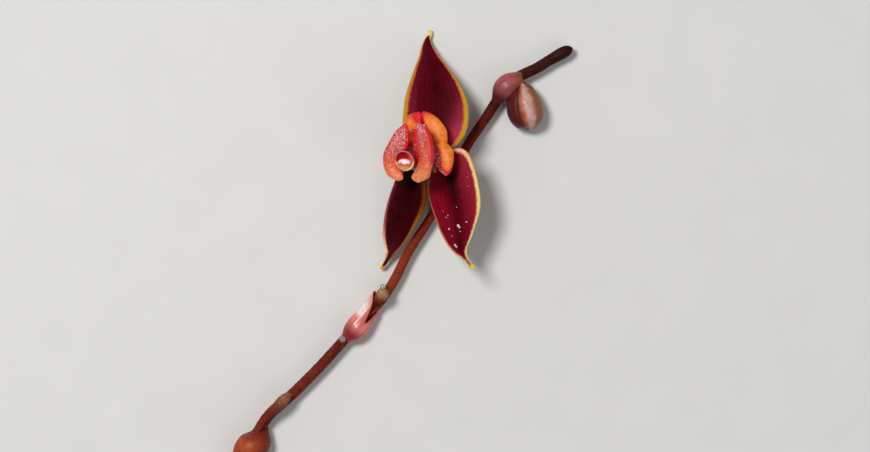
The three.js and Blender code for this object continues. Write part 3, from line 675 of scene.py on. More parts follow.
LEFT_OUTLINE = [
    (-0.27, 0.1, -0.05, -0.3), (-0.95, 0.35, -0.08, -0.55), (-1.35, 0.4, -0.12, -0.85),
    (-1.58, 0.15, -0.16, -1.2), (-1.68, -0.35, -0.19, -1.6), (-1.78, -1.05, -0.19, -2.05),
    (-2.02, -1.75, -0.36, -2.65), (-2.22, -2.4, -0.62, -3.15), (-2.37, -3.2, -0.98, -3.8),
    (-2.42, -4.0, -1.36, -4.33), (-2.32, -4.48, -1.72, -4.7), (-2.26, -4.8, -1.93, -4.9),
    (-2.28, -5.14, -2.15, -5.16), (-2.43, -5.43, -2.31, -5.42), (-2.56, -5.62, -2.41, -5.62),
]


def bell(value, middle, width):
    return np.exp(-(((value - middle) / width) ** 2))


def ramp(value, start, end):
    """0 at start, 1 at end, straight between and level beyond."""
    return np.clip((value - start) / (end - start), 0, 1)


def flower_point(x, y, over, yaw):
    """A point over the plane in which the flower lies open, given by its plan position."""
    return np.stack([x, y, FLOWER_HEIGHT + x * math.tan(yaw) + over / math.cos(yaw)], axis=-1)


def blade(name, outline, over, half, marks, yaw, rows, columns):
    """A thin blade between two edges, s along it and t across it from -1 to 1.

    over(s, t, x, y) is its height over the flower's plane and half(s, t) half its thickness.
    marks gives numbers on its points, from s, t, the distance to its margin and which face.
    """
    s = np.linspace(0.004, 0.996, rows)[:, None] * np.ones(columns + 1)
    t = -np.cos(np.linspace(0, math.pi, columns + 1)) * np.ones((rows, 1))
    ended = np.sqrt(1 - ramp(s, 1 - BLADE_END, 1) ** 2)

    def middle_at(s, t, ended):
        edges = graph(outline, s)
        share = ((t * ended + 1) / 2)[..., None]
        plan = edges[..., :2] * (1 - share) + edges[..., 2:] * share
        x, y = plan[..., 0], plan[..., 1]
        return flower_point(x, y, over(s, t, x, y), yaw), edges

    def both_faces(upper, lower):
        return np.concatenate([upper, lower[:, -2:0:-1]], axis=1)

    middle, edges = middle_at(s, t, ended)
    width = np.linalg.norm(edges[..., 2:] - edges[..., :2], axis=-1) * ended
    normal = np.cross(np.gradient(middle, axis=1), np.gradient(middle, axis=0))
    normal /= np.maximum(np.linalg.norm(normal, axis=-1), 1e-9)[..., None]
    normal *= np.sign(normal[..., 2:])
    thick = (half(s, t) * ended)[..., None]
    rings = both_faces(middle + normal * thick, middle - normal * thick)
    ring_s, ring_t = both_faces(s, s), both_faces(t, t)
    rim = both_faces(width, width) * (1 - np.abs(ring_t)) / 2
    upper = both_faces(np.ones_like(s), np.zeros_like(s))
    values = {key: rule(ring_s, ring_t, rim, upper) for key, rule in marks.items()}
    ends = [middle_at(np.array([[e]]), np.array([[0.0]]), np.array([[1.0]]))[0][0, 0] for e in (0, 1)]
    return skin_mesh(name, rings, values, *ends)


def sepal_over(droop):
    def over(s, t, x, y):
        bend = droop * (np.hypot(x, y) / SEPAL_LENGTH) ** 2
        roll = MARGIN_ROLL * t**2 * np.sin(math.pi * np.minimum(s, 0.85)) * ramp(s, 1, 0.88)
        veins = 0.007 * sum(bell(t, at, 0.05) for at in (0, -0.42, 0.42)) * np.sin(math.pi * s)
        return MARGIN_RIPPLE * t**6 * np.sin(26 * s + 2 * t) - bend - roll - veins
    return over


def sepal_half(s, t):
    plump = graph([1, 1, 1, 1, 1, 1, 1, 0.9, 0.7, 0.6, 0.75], s)
    rim = 1 + 0.25 * bell(np.abs(t), 0.9, 0.06)
    return SEPAL_HALF * plump * rim * np.sqrt(np.maximum(1 - t**8, 0))


def sepal_marks(form):
    """The borders' widths run along the blade. The painted sheen and the painted shade are spots, each
    (along, across, length, width, strength).
    """
    def border(s, t, rim, up):
        return rim / np.where(t < 0, graph(form["left_border"], s), graph(form["right_border"], s))
    def spots(places):
        def mark(s, t, rim, up):
            return sum(strength * bell(s, at, long) * bell(t, across, wide)
                       for at, across, long, wide, strength in places)
        return mark
    return {
        "along": lambda s, t, rim, up: s, "across": lambda s, t, rim, up: t, "border": border,
        "blush": spots(form["blush"]), "shade": spots(form["shade"]),
    }


def sepal_finish(name, form):
    skin = Finish(name, flesh=(0.1, 0.3), specular=0.03)
    streaks = skin.math("SINE", skin.times("across", 34.0))
    streaks = skin.level(skin.math("ADD", streaks, skin.patches(0.5, 2, 0, 1, -0.9, 0.9)), 0.1, 1.2)
    clouds = skin.patches(0.7, 3, 0.3, 0.72)
    colour = skin.blend(form["body"], form["deep"], streaks, 0.4)
    colour = skin.blend(colour, form["deep"], clouds, 0.45)
    # Painted sheen: lighter pink spots where light falls on the blade, and a painted rim light on the left
    # lateral sepal's left edge.
    colour = skin.blend(colour, form["painted_sheen_colour"], "blush")
    # The shade spots darken the blade with painted shade.
    colour = skin.blend(colour, (26, 0, 3), "shade")
    # Painted glints on the cells, strongest where the painted sheen lies.
    cells = skin.cells(0.075)
    glints = skin.times(skin.level(cells, 0.3, 0.0), skin.math("ADD", "blush", 0.08))
    colour = skin.blend(colour, (255, 190, 200), glints, 0.17, "SCREEN")
    left, right = skin.scale("along", form["left"]), skin.scale("along", form["right"])
    border = skin.blend(left, right, skin.level("across", -0.02, 0.02))
    rough = skin.math("ADD", "border", skin.patches(0.12, 3, 0, 1, -0.2, 0.2))
    border = skin.blend(border, form["inner"], skin.level(rough, 0.45, 1.0))
    colour = skin.blend(colour, border, skin.level(rough, 1.2, 0.75))
    bumps = (skin.times(cells, -1.0), 0.014), (skin.noise(0.25, 3), 0.02)
    return skin.give(colour, clouds, 0.46, 0.34, *bumps)


# left and right are the colours of a sepal's borders along it, inner is where they fade inwards.
SEPALS = {
    "dorsal_sepal": {
        "outline": DORSAL_OUTLINE, "droop": 2.03,
        "left_border": [0.28, 0.28, 0.29, 0.3, 0.31, 0.32, 0.3, 0.26, 0.2, 0.15, 0.1, 0.06, 0.15, 0.2],
        "right_border": [0.2, 0.25, 0.28, 0.3, 0.3, 0.28, 0.25, 0.2, 0.16, 0.12, 0.08, 0.06, 0.15, 0.2],
        "blush": [(0.23, 0.62, 0.12, 0.26, 0.8), (0.34, 0.8, 0.16, 0.16, 0.45),
                  (0.32, -0.72, 0.2, 0.14, 0.3)],
        "shade": [(0.5, 0.1, 0.26, 0.35, 0.5), (0.1, 0, 0.1, 0.6, 0.6)],
        "body": (98, 3, 20), "deep": (46, 0, 7), "painted_sheen_colour": (180, 44, 78), "inner": (178, 82, 44),
        # From 0.82 to 0.9 both borders turn near white, a painted highlight on the tail's fold.
        "left": [(0, 176, 116, 44), (0.4, 198, 146, 40), (0.72, 190, 124, 38), (0.82, 226, 190, 120),
                 (0.9, 250, 236, 190), (0.95, 236, 200, 40)],
        "right": [(0, 190, 96, 44), (0.14, 200, 122, 44), (0.32, 206, 160, 50), (0.72, 204, 134, 40),
                  (0.8, 206, 150, 70), (0.88, 244, 220, 170), (0.95, 236, 200, 40)],
    },
    "lateral_sepal_right": {
        "outline": RIGHT_OUTLINE, "droop": 0.7,
        "left_border": [0.1, 0.12, 0.12, 0.11, 0.1, 0.1, 0.11, 0.13, 0.14, 0.14, 0.13, 0.11, 0.08, 0.07, 0.2],
        "right_border": [0.3, 0.42, 0.36, 0.24, 0.2, 0.21, 0.22, 0.22, 0.2, 0.18, 0.15, 0.11,
                         0.06, 0.06, 0.2],
        "blush": [(0.45, 0.78, 0.3, 0.2, 0.35), (0.25, 0.5, 0.14, 0.3, 0.3)],
        "shade": [(0.24, -0.02, 0.16, 0.3, 0.85), (0.5, 0.05, 0.3, 0.34, 0.55), (0.74, 0.1, 0.14, 0.5, 0.4)],
        "body": (138, 10, 34), "deep": (86, 2, 16), "painted_sheen_colour": (168, 34, 62), "inner": (198, 92, 54),
        "left": [(0, 120, 50, 14), (0.3, 160, 80, 20), (0.6, 212, 148, 98), (0.8, 240, 194, 158),
                 (0.95, 236, 206, 50)],
        "right": [(0, 206, 118, 88), (0.1, 244, 164, 138), (0.2, 248, 184, 140), (0.35, 252, 222, 138),
                  (0.85, 255, 236, 176), (0.95, 236, 206, 50)],
    },
    # The left lateral sepal's darker body and deep colours are painted shade, for it lies in the lip's
    # shadow. The pinkish upper part of its left border is a painted rim light.
    "lateral_sepal_left": {
        "outline": LEFT_OUTLINE, "droop": 0.7,
        "left_border": [0.1, 0.11, 0.12, 0.12, 0.13, 0.13, 0.14, 0.18, 0.22, 0.25, 0.24, 0.16,
                        0.06, 0.06, 0.2],
        "right_border": [0.3, 0.34, 0.38, 0.38, 0.34, 0.3, 0.24, 0.2, 0.17, 0.14, 0.12, 0.09,
                         0.05, 0.06, 0.2],
        "blush": [(0.45, -0.92, 0.3, 0.12, 0.7), (0.72, 0.2, 0.1, 0.5, 0.3)],
        "shade": [(0.3, 0.1, 0.28, 0.5, 0.8)],
        "body": (64, 2, 10), "deep": (30, 0, 3), "painted_sheen_colour": (120, 34, 60), "inner": (96, 34, 10),
        "left": [(0, 120, 50, 60), (0.4, 158, 68, 84), (0.58, 176, 84, 90), (0.66, 240, 186, 144),
                 (0.76, 252, 226, 170), (0.88, 190, 90, 50), (0.95, 240, 166, 30)],
        "right": [(0, 96, 40, 8), (0.4, 112, 56, 8), (0.58, 172, 116, 28), (0.78, 188, 106, 34),
                  (0.88, 160, 64, 34), (0.95, 240, 166, 30)],
    },
}


def margin_points(mesh, columns):
    """Points along both margins of a blade, in plan millimetres, and the way out from each."""
    places = np.empty(len(mesh.vertices) * 3)
    mesh.vertices.foreach_get("co", places)
    places = places.reshape(-1, 3) / MM - FLOWER_MIDDLE
    rows = places[:-2].reshape(-1, 2 * columns, 3)[3:-3:2]
    margin = np.concatenate([rows[:, 0], rows[:, columns]])
    outs = np.concatenate([rows[:, 0] - rows[:, 2], rows[:, columns] - rows[:, columns - 2]])
    return margin, outs / np.linalg.norm(outs, axis=1)[:, None]


MARGIN_TEETH = hair_finish("margin_teeth", (222, 170, 84), (250, 232, 180))
for sepal_name, form in SEPALS.items():
    mesh = blade(
        sepal_name, form["outline"], sepal_over(form["droop"]), sepal_half, sepal_marks(form),
        SEPAL_YAW, 120, SEPAL_COLUMNS,
    )
    show(sepal_name + "_blade", mesh, sepal_name, sepal_finish(sepal_name + "_skin", form))
    margin, outs = margin_points(mesh, SEPAL_COLUMNS)
    clear = margin[:, 2] > TEETH_CLEARANCE
    studs(
        sepal_name + "_teeth", FRINGE, tufts(margin[clear], outs[clear]), MARGIN_TEETH,
        seed=17, spread=0.5, thickness=0.016, length=0.05,
    )


# Sepal pad: the low ridged swelling where the two lateral sepals join below the lip. It is
# dull brown and fleshy, and grows out of their bases.

pad_line = [(x, y, FLOWER_HEIGHT + x * math.tan(SEPAL_YAW) - 0.02) for x, y in (
    (0.06, -0.2), (0.17, -0.4), (0.22, -0.62), (0.24, -0.84),
)]
stalk(
    "sepal_pad", None, stalk_finish("pad_skin", (204, 116, 88), (140, 46, 30)), pad_line,
    [0.1, 0.15, 0.18, 0.18, 0.15, 0.1, 0.02], rings=60, sides=48, skin=(0.08, 0.05), ribs=(7.0, 0.17),
)


# Petals: two small fleshy blades beside the lip, each of two lobes, on a short claw. They
# are orange, with a crimson inner side, and bend back at their outer margin.

HEART_YAW = math.radians(32)
HEART_ROWS = 90
HEART_COLUMNS = 36
PETAL_OUT = 0.95
PETAL_BEND = 0.35
PETAL_HALF = 0.17
PETAL_WAIST = 0.53  # where along a petal its two lobes meet
PETAL_RIGHT_OUTLINE = [
    (-0.42, 2.25, -0.4, 2.25), (-0.46, 2.1, -0.13, 2.19), (-0.43, 1.9, 0.27, 1.96),
    (-0.35, 1.6, 0.6, 1.62), (-0.22, 1.25, 0.8, 1.25), (-0.04, 0.875, 0.82, 0.86),
    (0.12, 0.6, 0.84, 0.625), (0.13, 0.3, 1.07, 0.35), (0.185, 0.0, 1.15, 0.0),
    (0.275, -0.375, 1.1, -0.42), (0.45, -0.66, 1.0, -0.74), (0.76, -0.95, 0.82, -0.95),
]
PETAL_LEFT_OUTLINE = [
    (-0.58, 2.24, -0.62, 2.24), (-0.47, 2.1, -0.86, 2.17), (-0.45, 1.9, -1.15, 2.0),
    (-0.47, 1.6, -1.32, 1.74), (-0.58, 1.25, -1.46, 1.46), (-0.76, 0.9, -1.55, 1.15),
    (-0.95, 0.6, -1.62, 0.8), (-1.14, 0.3, -1.72, 0.4), (-1.2, 0.0, -1.8, 0.0),
    (-1.22, -0.375, -1.76, -0.42), (-1.32, -0.66, -1.68, -0.74), (-1.5, -0.95, -1.54, -0.95),
]


def swell(s):
    return np.sin(math.pi * np.clip(s, 0, 1))


def petal_over(s, t, x, y):
    waist = 0.08 * bell(s, PETAL_WAIST, 0.05) * (1 - t**2)
    return PETAL_OUT - PETAL_BEND * swell(s) * ((t + 1) / 2) ** 2 - waist


def petal_half(s, t):
    plump = graph([0.3, 0.8, 1, 1, 1, 0.9, 1, 1, 1, 0.8, 0.3], s)
    return PETAL_HALF * plump * np.sqrt(np.maximum(1 - t**4, 0))


def petal_marks(reach, slant):
    """reach is how far over a petal (-1 to 1) the red goes at its tip.

    slant is how much that shrinks down the upper lobe.
    """
    def redness(s, t, rim, up):
        tip = ramp(s, 0.2, 0.08) * (slant == 0)
        edge = reach - slant * s
        upper_lobe = ramp(t, edge, edge - 0.4 - 0.12 * slant) * (s < 0.5)
        edge = -0.02 - 0.9 * ramp(s, 0.64, 0.48)
        lower_lobe = ramp(t, edge, edge - 0.3) * ramp(s, 0.46, 0.52)
        foot = 0.8 * ramp(s, 0.82, 0.94)
        waist = 0.6 * bell(s, PETAL_WAIST, 0.03) * (t < 0.2)
        return np.clip(tip + upper_lobe + lower_lobe + foot + waist + 0.55 * ramp(rim, 0.09, 0), 0, 1)
    def downy(s, t, rim, up):
        return up * ramp(t, -0.1, -0.3) * ramp(s, 0.55, 0.6)
    return {"redness": redness, "downy": downy}


def heart_line(*points):
    """Points of the flower's heart, each given across, along and out of the heart's own plane."""
    line = []
    for across, along, out in points:
        x = np.array(across * math.cos(HEART_YAW) - out * math.sin(HEART_YAW))
        line.append(flower_point(x, np.array(float(along)), out, HEART_YAW))
    return line


skin = Finish("petal_skin", flesh=(0.2, 0.3), coat=(0.08, 0.25), specular=0.2)
clouds = skin.patches(0.35, 3, 0.3, 0.7)
colour = skin.blend((255, 150, 46), (230, 112, 24), clouds)
cells = skin.cells(0.11)
colour = skin.blend(colour, (206, 84, 22), skin.level(cells, 0.4, 0.75, 0.0, 0.35))
red = skin.math("ADD", "redness", skin.patches(0.15, 3, 0, 1, -0.22, 0.22))
crimson = skin.blend((232, 30, 46), (196, 12, 38), clouds)
colour = skin.blend(colour, crimson, skin.level(red, 0.2, 0.85))
flecks = skin.times(skin.patches(0.05, 2, 0.57, 0.66), skin.math("ADD", "downy", 0.03))
colour = skin.blend(colour, (255, 200, 200), flecks, 0.6)
bumps = (skin.times(cells, -1.0), 0.02), (skin.noise(0.05, 2), 0.012)
PETAL_SKIN = skin.give(colour, clouds, 0.46, 0.36, *bumps)
petals = {}
for side, petal_name, outline, reach, slant in (
    (-1, "petal_left", PETAL_LEFT_OUTLINE, 2.8, 9.5), (1, "petal_right", PETAL_RIGHT_OUTLINE, -0.4, 0),
):
    mesh = blade(
        petal_name, outline, petal_over, petal_half, petal_marks(reach, slant), HEART_YAW, HEART_ROWS,
        HEART_COLUMNS,
    )
    petals[petal_name] = show(petal_name + "_blade", mesh, petal_name, PETAL_SKIN)
    stalk(
        petal_name + "_claw", None, PETAL_SKIN,
        heart_line((0.2 * side, 0.1, 0.45), (0.6 * side, 0.3, 0.64), (1.0 * side, 0.5, 0.9)),
        [0.09, 0.1, 0.13], rings=24, sides=20, skin=(0.1, 0.01),
    )


# Column: it stands between the sepals' bases, arches forward and widens into a hood at its
# tip. The hood is a mauve cup, deep red inside, with a cream lip below.

COLUMN_LINE = heart_line(
    (0, 0, -0.26), (0, 0.02, 0.3), (0, 0.18, 0.95), (-0.04, -0.07, 1.7), (-0.12, -0.22, 2.3),
)
COLUMN_GIRTH = [0.19, 0.19, 0.2, 0.22, 0.25, 0.29, 0.35, 0.44, 0.51]
HOOD_SIDES = 64
HOOD_WALL = 0.05
HOOD_DEPTH = 0.32
HOOD_WIDER = 0.18  # how much wider than high the hood is


def directions(ahead):
    """Right, upper and ahead of a line that goes ahead, each of length 1."""
    ahead = ahead / np.linalg.norm(ahead)
    right = np.cross((0, 1, 0), ahead)
    right /= np.linalg.norm(right)
    return right, np.cross(ahead, right), ahead


column_path = smooth_line(COLUMN_LINE, 60)
hood_middle = column_path[-1]
hood_right, hood_upper, hood_facing = directions(column_path[-1] - column_path[-3])

# Rings up the outside, over the rim, then down the hollow of the hood.
angles = np.arange(HOOD_SIDES) * math.tau / HOOD_SIDES
across, up = np.cos(angles)[:, None], np.sin(angles)[:, None]
last = len(column_path) - 1
rings, along, inside = [], [], []
for i, centre in enumerate(column_path):
    right, upper, ahead = directions(column_path[min(i + 1, last)] - column_path[max(i - 1, 0)])
    r = graph(COLUMN_GIRTH, i / last)
    wide = r * (1 + HOOD_WIDER * (i / last) ** 6)
    rings.append(centre + wide * across * right + r * up * upper)
    along.append(i / last)
    inside.append(0.0)
rim = COLUMN_GIRTH[-1]
outward = (1 + HOOD_WIDER) * across * hood_right + up * hood_upper
wall = HOOD_WALL * (1 + 1.2 * np.clip(-outward[:, 1:2], 0, 1))
for step in np.linspace(0.15, 1, 6):
    turn = step * math.pi
    r = rim - wall / 2 + wall / 2 * math.cos(turn)
    rings.append(hood_middle + hood_facing * wall / 2 * math.sin(turn) + r * outward)
    inside.append(step * 0.5)
for step in np.linspace(0.06, 0.97, 16):
    r = (rim - wall) * math.sqrt(1 - step**2)
    rings.append(hood_middle - hood_facing * HOOD_DEPTH * step + r * outward)
    inside.append(1.0)
along += [1.0] * (len(rings) - len(along))
all_round, all_along = np.ones(HOOD_SIDES), np.ones(len(rings))
marks = {
    "along": np.outer(along, all_round), "inside": np.outer(inside, all_round),
    "height": np.outer(all_along, outward[:, 1]), "side": np.outer(all_along, outward[:, 0]),
}
column = skin_mesh("column", np.array(rings), marks, column_path[0], hood_middle - hood_facing * HOOD_DEPTH)
skin = Finish("column_skin", flesh=(0.2, 0.3), coat=(0.4, 0.15), specular=0.35)
clouds = skin.patches(0.25, 3, 0.3, 0.7)
outer = skin.blend((176, 62, 92), (124, 24, 52), clouds)
outer = skin.blend(outer, (200, 130, 160), skin.level("along", 0.93, 1.0, 0.0, 0.75))
outer = skin.blend(outer, (250, 222, 140), skin.level("height", 0.1, -0.3), skin.level("along", 0.95, 0.99))
hollow = skin.blend((184, 12, 6), (240, 100, 20), skin.level("side", -0.4, 0.7))
colour = skin.blend(outer, hollow, skin.level("inside", 0.5, 0.95))
column_skin = skin.give(colour, clouds, 0.4, 0.28, (skin.noise(0.06, 3), 0.008))
show("column_body", column, "column", column_skin)


# Anther cap and pollinarium: a small glossy cap in the hood at the column's tip, and under it
# two waxy yellow pollinia on a short thread. The cap hides them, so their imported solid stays.

CAP_PLACE = (-0.01, -0.16, 0.02)  # its middle in the hood: to the right, up and forward
CAP_SIZE = [0.46, 0.28, 0.2]
CAP_SIDES = 48
CAP_ROWS = 28

# A ball squashed along the hood's own directions.
down = np.linspace(0, math.pi, CAP_ROWS + 1)[1:-1, None] * np.ones(CAP_SIDES)
turn = np.arange(CAP_SIDES) * math.tau / CAP_SIDES
ball = np.stack([np.sin(down) * np.cos(turn), np.sin(down) * np.sin(turn), np.cos(down)], axis=-1)
hood = np.stack([hood_right, hood_upper, hood_facing])
axes = hood * np.array(CAP_SIZE)[:, None]
middle = hood_middle + CAP_PLACE @ hood
outward = ball @ hood
marks = {"side": outward[..., 0], "height": outward[..., 1]}
cap = skin_mesh("anther_cap", middle + ball @ axes, marks, middle + axes[2], middle - axes[2])
skin = Finish("anther_cap_skin", flesh=(0.2, 0.3), coat=(1.0, 0.06))
colour = skin.scale(skin.level("height", -1, 1), [
    (0.0, 238, 176, 96), (0.2, 214, 112, 50), (0.4, 204, 84, 40), (0.62, 226, 130, 84),
    (0.78, 238, 196, 190), (0.88, 236, 214, 230),
])
# A painted highlight: a white spot on the cap's upper left.
aside = skin.math("POWER", skin.math("ADD", "side", 0.3), 2.0)
above = skin.math("POWER", skin.math("SUBTRACT", "height", 0.3), 2.0)
painted_glare = skin.level(skin.math("ADD", aside, above), 0.2, 0.05)
colour = skin.blend(colour, (255, 252, 250), painted_glare)
cap_skin = skin.give(colour, skin.noise(0.2), 0.2, 0.3, (skin.noise(0.15), 0.006))
show("anther_cap_dome", cap, "anther_cap", cap_skin)

skin = Finish("pollen_skin", flesh=(0.3, 0.2), coat=(0.3, 0.2))
colour = skin.blend((236, 190, 60), (206, 140, 30), skin.noise(0.05))
pollen_skin = skin.give(colour, skin.noise(0.03), 0.3, 0.5, (skin.noise(0.02), 0.002))
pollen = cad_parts["pollinarium"]
pollen.data.materials.clear()
pollen.data.materials.append(pollen_skin)


# Lip: two fleshy blades, one on each side of the column, joined by a bridge that passes
# under it. They are coral, bordered with red, and short pale hairs cover their upper halves.

LIP_OUT = 1.95
LIP_CROWN = 0.12
LIP_TILT = 0.15
LIP_CREASE = 0.16
LIP_HALF = 0.2
LIP_RIGHT_OUTLINE = [
    (-0.475, 1.61, -0.475, 1.61), (-0.725, 1.48, -0.25, 1.52), (-0.84, 1.25, -0.085, 1.25),
    (-0.85, 0.95, 0.025, 0.92), (-0.825, 0.6, 0.1, 0.55), (-0.765, 0.25, 0.15, 0.2),
    (-0.625, -0.05, 0.15, -0.1), (-0.6, -0.35, 0.11, -0.36), (-0.685, -0.65, 0.02, -0.65),
    (-0.8, -0.89, -0.04, -0.9), (-0.92, -1.08, -0.15, -1.1), (-0.63, -1.3, -0.6, -1.3),
]
LIP_LEFT_OUTLINE = [
    (-1.26, 1.635, -1.26, 1.635), (-1.425, 1.51, -1.135, 1.43), (-1.7, 1.275, -1.05, 1.175),
    (-1.9, 1.0, -1.05, 0.875), (-2.1, 0.65, -1.1, 0.575), (-2.275, 0.325, -1.25, 0.3),
    (-2.35, 0.0, -1.5, 0.05), (-2.335, -0.35, -1.62, -0.3), (-2.25, -0.65, -1.63, -0.55),
    (-2.125, -0.9, -1.5, -0.74), (-1.875, -1.065, -1.41, -0.9), (-1.65, -1.13, -1.4, -1.04),
    (-1.5, -1.125, -1.48, -1.125),
]


def lip_over(side):
    def over(s, t, x, y):
        crown = LIP_CROWN * (1 - t**2) + LIP_TILT * side * t
        crease = LIP_CREASE * ramp(t, -0.3, -0.9) if side > 0 else 0.0
        return LIP_OUT + swell(s) * (crown - crease)
    return over


def lip_half(s, t):
    plump = graph([0.3, 0.8, 1, 1, 1, 1, 1, 1, 1, 0.9, 0.3], s)
    rim = 1 + 0.12 * bell(np.abs(t), 0.82, 0.08)
    return LIP_HALF * plump * rim * np.sqrt(np.maximum(1 - t**4, 0))


def lip_marks(side):
    """Where a blade is crimson, and where it is downy: over its top and in a line down it."""
    def crimson(s, t, rim, up):
        wide, reach = (0.17, 0.74) if side > 0 else (0.2, 0.6)
        outer = ramp(rim, wide, wide - 0.08) * ramp(s, reach, reach - 0.2)
        inner = 0.9 * ramp(t, -0.02, -0.42) * ramp(s, 0.74, 0.39) if side > 0 else 0.0
        return np.clip(outer + inner, 0, 1)
    def downy(s, t, rim, up):
        off_margin = ramp(rim, 0.099, 0.189)
        if side > 0:
            top = ramp(s, 0.36, 0.16) * np.maximum(ramp(s, 0.16, 0.1), ramp(t, -0.14, 0.02))
            line = bell(t, -0.12 + 0.85 * s, 0.1) + 0.03 * off_margin
        else:
            top = ramp(s, 0.55, 0.25)
            line = 1.4 * bell(rim, 0.3, 0.03) * (t < 0)
        return up * np.clip(top * off_margin + 0.8 * line * ramp(s, 0.9, 0.7), 0, 1)
    return {
        "along": lambda s, t, rim, up: s, "rim": lambda s, t, rim, up: rim,
        "crimson": crimson, "downy": downy,
    }


skin = Finish("lip_skin", flesh=(0.2, 0.3), coat=(0.12, 0.25), specular=0.3)
colour = skin.scale("along", [
    (0.0, 210, 34, 50), (0.3, 212, 58, 50), (0.55, 230, 86, 50), (0.8, 244, 132, 76), (1.0, 252, 166, 106),
])
stripes = skin.math("SINE", skin.times("rim", 60.0))
colour = skin.blend(colour, (250, 164, 124), skin.level(stripes, 0.4, 1.0, 0.0, 0.45))
clouds = skin.patches(0.22, 3, 0.35, 0.7)
colour = skin.blend(colour, (190, 36, 40), clouds, 0.4)
mottle = skin.patches(0.075, 2, 0.5, 0.64)
colour = skin.blend(colour, (168, 20, 34), mottle, skin.level("along", 0.85, 0.5, 0.1, 0.6))
red = skin.math("ADD", "crimson", skin.patches(0.12, 2, 0, 1, -0.2, 0.2))
colour = skin.blend(colour, (216, 20, 34), skin.level(red, 0.25, 0.7))
flecks = skin.times(skin.level(skin.cells(0.085), 0.4, 0.28), skin.patches(0.14, 2, 0.42, 0.55))
colour = skin.blend(colour, (255, 222, 226), skin.math("ADD", "downy", 0.04), flecks)
bumps = (skin.times(skin.cells(0.07), -1.0), 0.015), (skin.noise(0.05, 2), 0.015)
LIP_SKIN = skin.give(colour, clouds, 0.5, 0.36, *bumps)
LIP_HAIR = hair_finish("lip_hair", (252, 206, 212), (255, 246, 246))
for side, outline, lip_name in (
    (1, LIP_RIGHT_OUTLINE, "lip_right_blade"), (-1, LIP_LEFT_OUTLINE, "lip_left_blade"),
):
    mesh = blade(
        lip_name, outline, lip_over(side), lip_half, lip_marks(side), HEART_YAW, HEART_ROWS, HEART_COLUMNS,
    )
    lip = show(lip_name, mesh, "lip", LIP_SKIN)
    studs(
        lip_name + "_hairs", HAIRS, copy_of(lip), LIP_HAIR, seed=11, spread=0.8,
        thickness=0.0125, length=0.07, density=380,
    )
studs(
    "petal_hairs", HAIRS, copy_of(petals["petal_right"]), LIP_HAIR, seed=13, spread=0.6,
    thickness=0.0115, length=0.055, density=180,
)
bridge = stalk(
    "lip_bridge", None, LIP_SKIN, heart_line(
        (-0.85, 0.05, 1.8), (-0.42, -0.32, 1.5), (0, -0.48, 1.3), (0.42, -0.32, 1.5), (0.85, 0.05, 1.8),
    ),
    [0.14, 0.14, 0.2, 0.14, 0.14], rings=60, sides=24, skin=(0.1, 0.02),
)
put_mark(bridge.data, "downy", np.full(len(bridge.data.vertices), 0.8))
studs(
    "lip_bridge_hairs", HAIRS, copy_of(bridge), LIP_HAIR, seed=12, spread=0.8, thickness=0.009,
    length=0.06, density=420,
)
stalk(
    "lip_foot", None, LIP_SKIN, heart_line((0, -0.46, 1.3), (0, -0.42, 0.9), (0, -0.36, 0.4)),
    [0.13, 0.1, 0.1], rings=30, sides=24, skin=(0.1, 0.02),
)


# Bud and its stalk: three sepals still closed over each other, in a ribbed egg that hangs
# from a short curved pedicel beside the stem.

skin = Finish("bud_skin", flesh=(0.2, 0.4), coat=(0.15, 0.25), specular=0.3)
ring = skin.add("ShaderNodeAttribute", output="Vector", attribute_name="ring")
turned = skin.add("ShaderNodeSeparateXYZ", {0: ring}).node.outputs
around = skin.times(skin.math("ARCTAN2", turned["Y"], turned["X"]), 3.0)
seams = skin.level(skin.math("COSINE", around), -0.93, -1.0)
across = skin.math("ADD", turned["X"], skin.patches(0.4, 3, 0, 1, -0.12, 0.12))
# Across the bud the pale stripe is a painted highlight and the dark red on one side is painted shade. The
# dark seams are its own.
colour = skin.scale(skin.level(across, -1, 1), [
    (0.0, 132, 80, 46), (0.15, 160, 102, 66), (0.27, 200, 158, 146), (0.48, 212, 170, 158),
    (0.61, 186, 110, 68), (0.76, 134, 56, 30), (0.88, 82, 12, 12),
])
deep = skin.patches(0.3, 3, 0.35, 0.7)
colour = skin.blend(colour, (110, 44, 34), deep, 0.35)
colour = skin.blend(colour, (70, 16, 14), seams, 0.75)
bud_skin = skin.give(colour, deep, 0.5, 0.38, (skin.times(seams, -1.0), 0.03), (skin.noise(0.1, 3), 0.02))
bud = stalk(
    "bud_body", "bud", bud_skin,
    [(4.54, 3.74, 1.0), (4.6, 3.4, 0.92), (4.66, 3.0, 0.86), (4.75, 2.5, 0.82), (4.87, 2.0, 0.8),
     (5.01, 1.41, 0.75)],
    [0.22, 0.5, 0.68, 0.79, 0.86, 0.9, 0.91, 0.88, 0.79, 0.61, 0.2],
    rings=90, sides=96, skin=(0.3, 0.03), ribs=(3.0, 0.045),
)
for vertex in bud.data.vertices:
    vertex.co.z = max(vertex.co.z, 0.0)
stalk(
    "bud_pedicel_skin", "bud_pedicel", OVARY_SKIN,
    [(4.05, 3.55, 0.92), (4.4, 3.62, 0.98), (4.68, 3.62, 1.0), (4.72, 3.4, 0.95)],
    [0.1, 0.11, 0.14, 0.17], rings=40, sides=20, skin=(0.12, 0.02),
)


# Dew: clear droplets that stand on the right lateral sepal, the stem, a spent pedicel, a petal
# and the lip. Each is a little flattened dome that touches what it stands on.

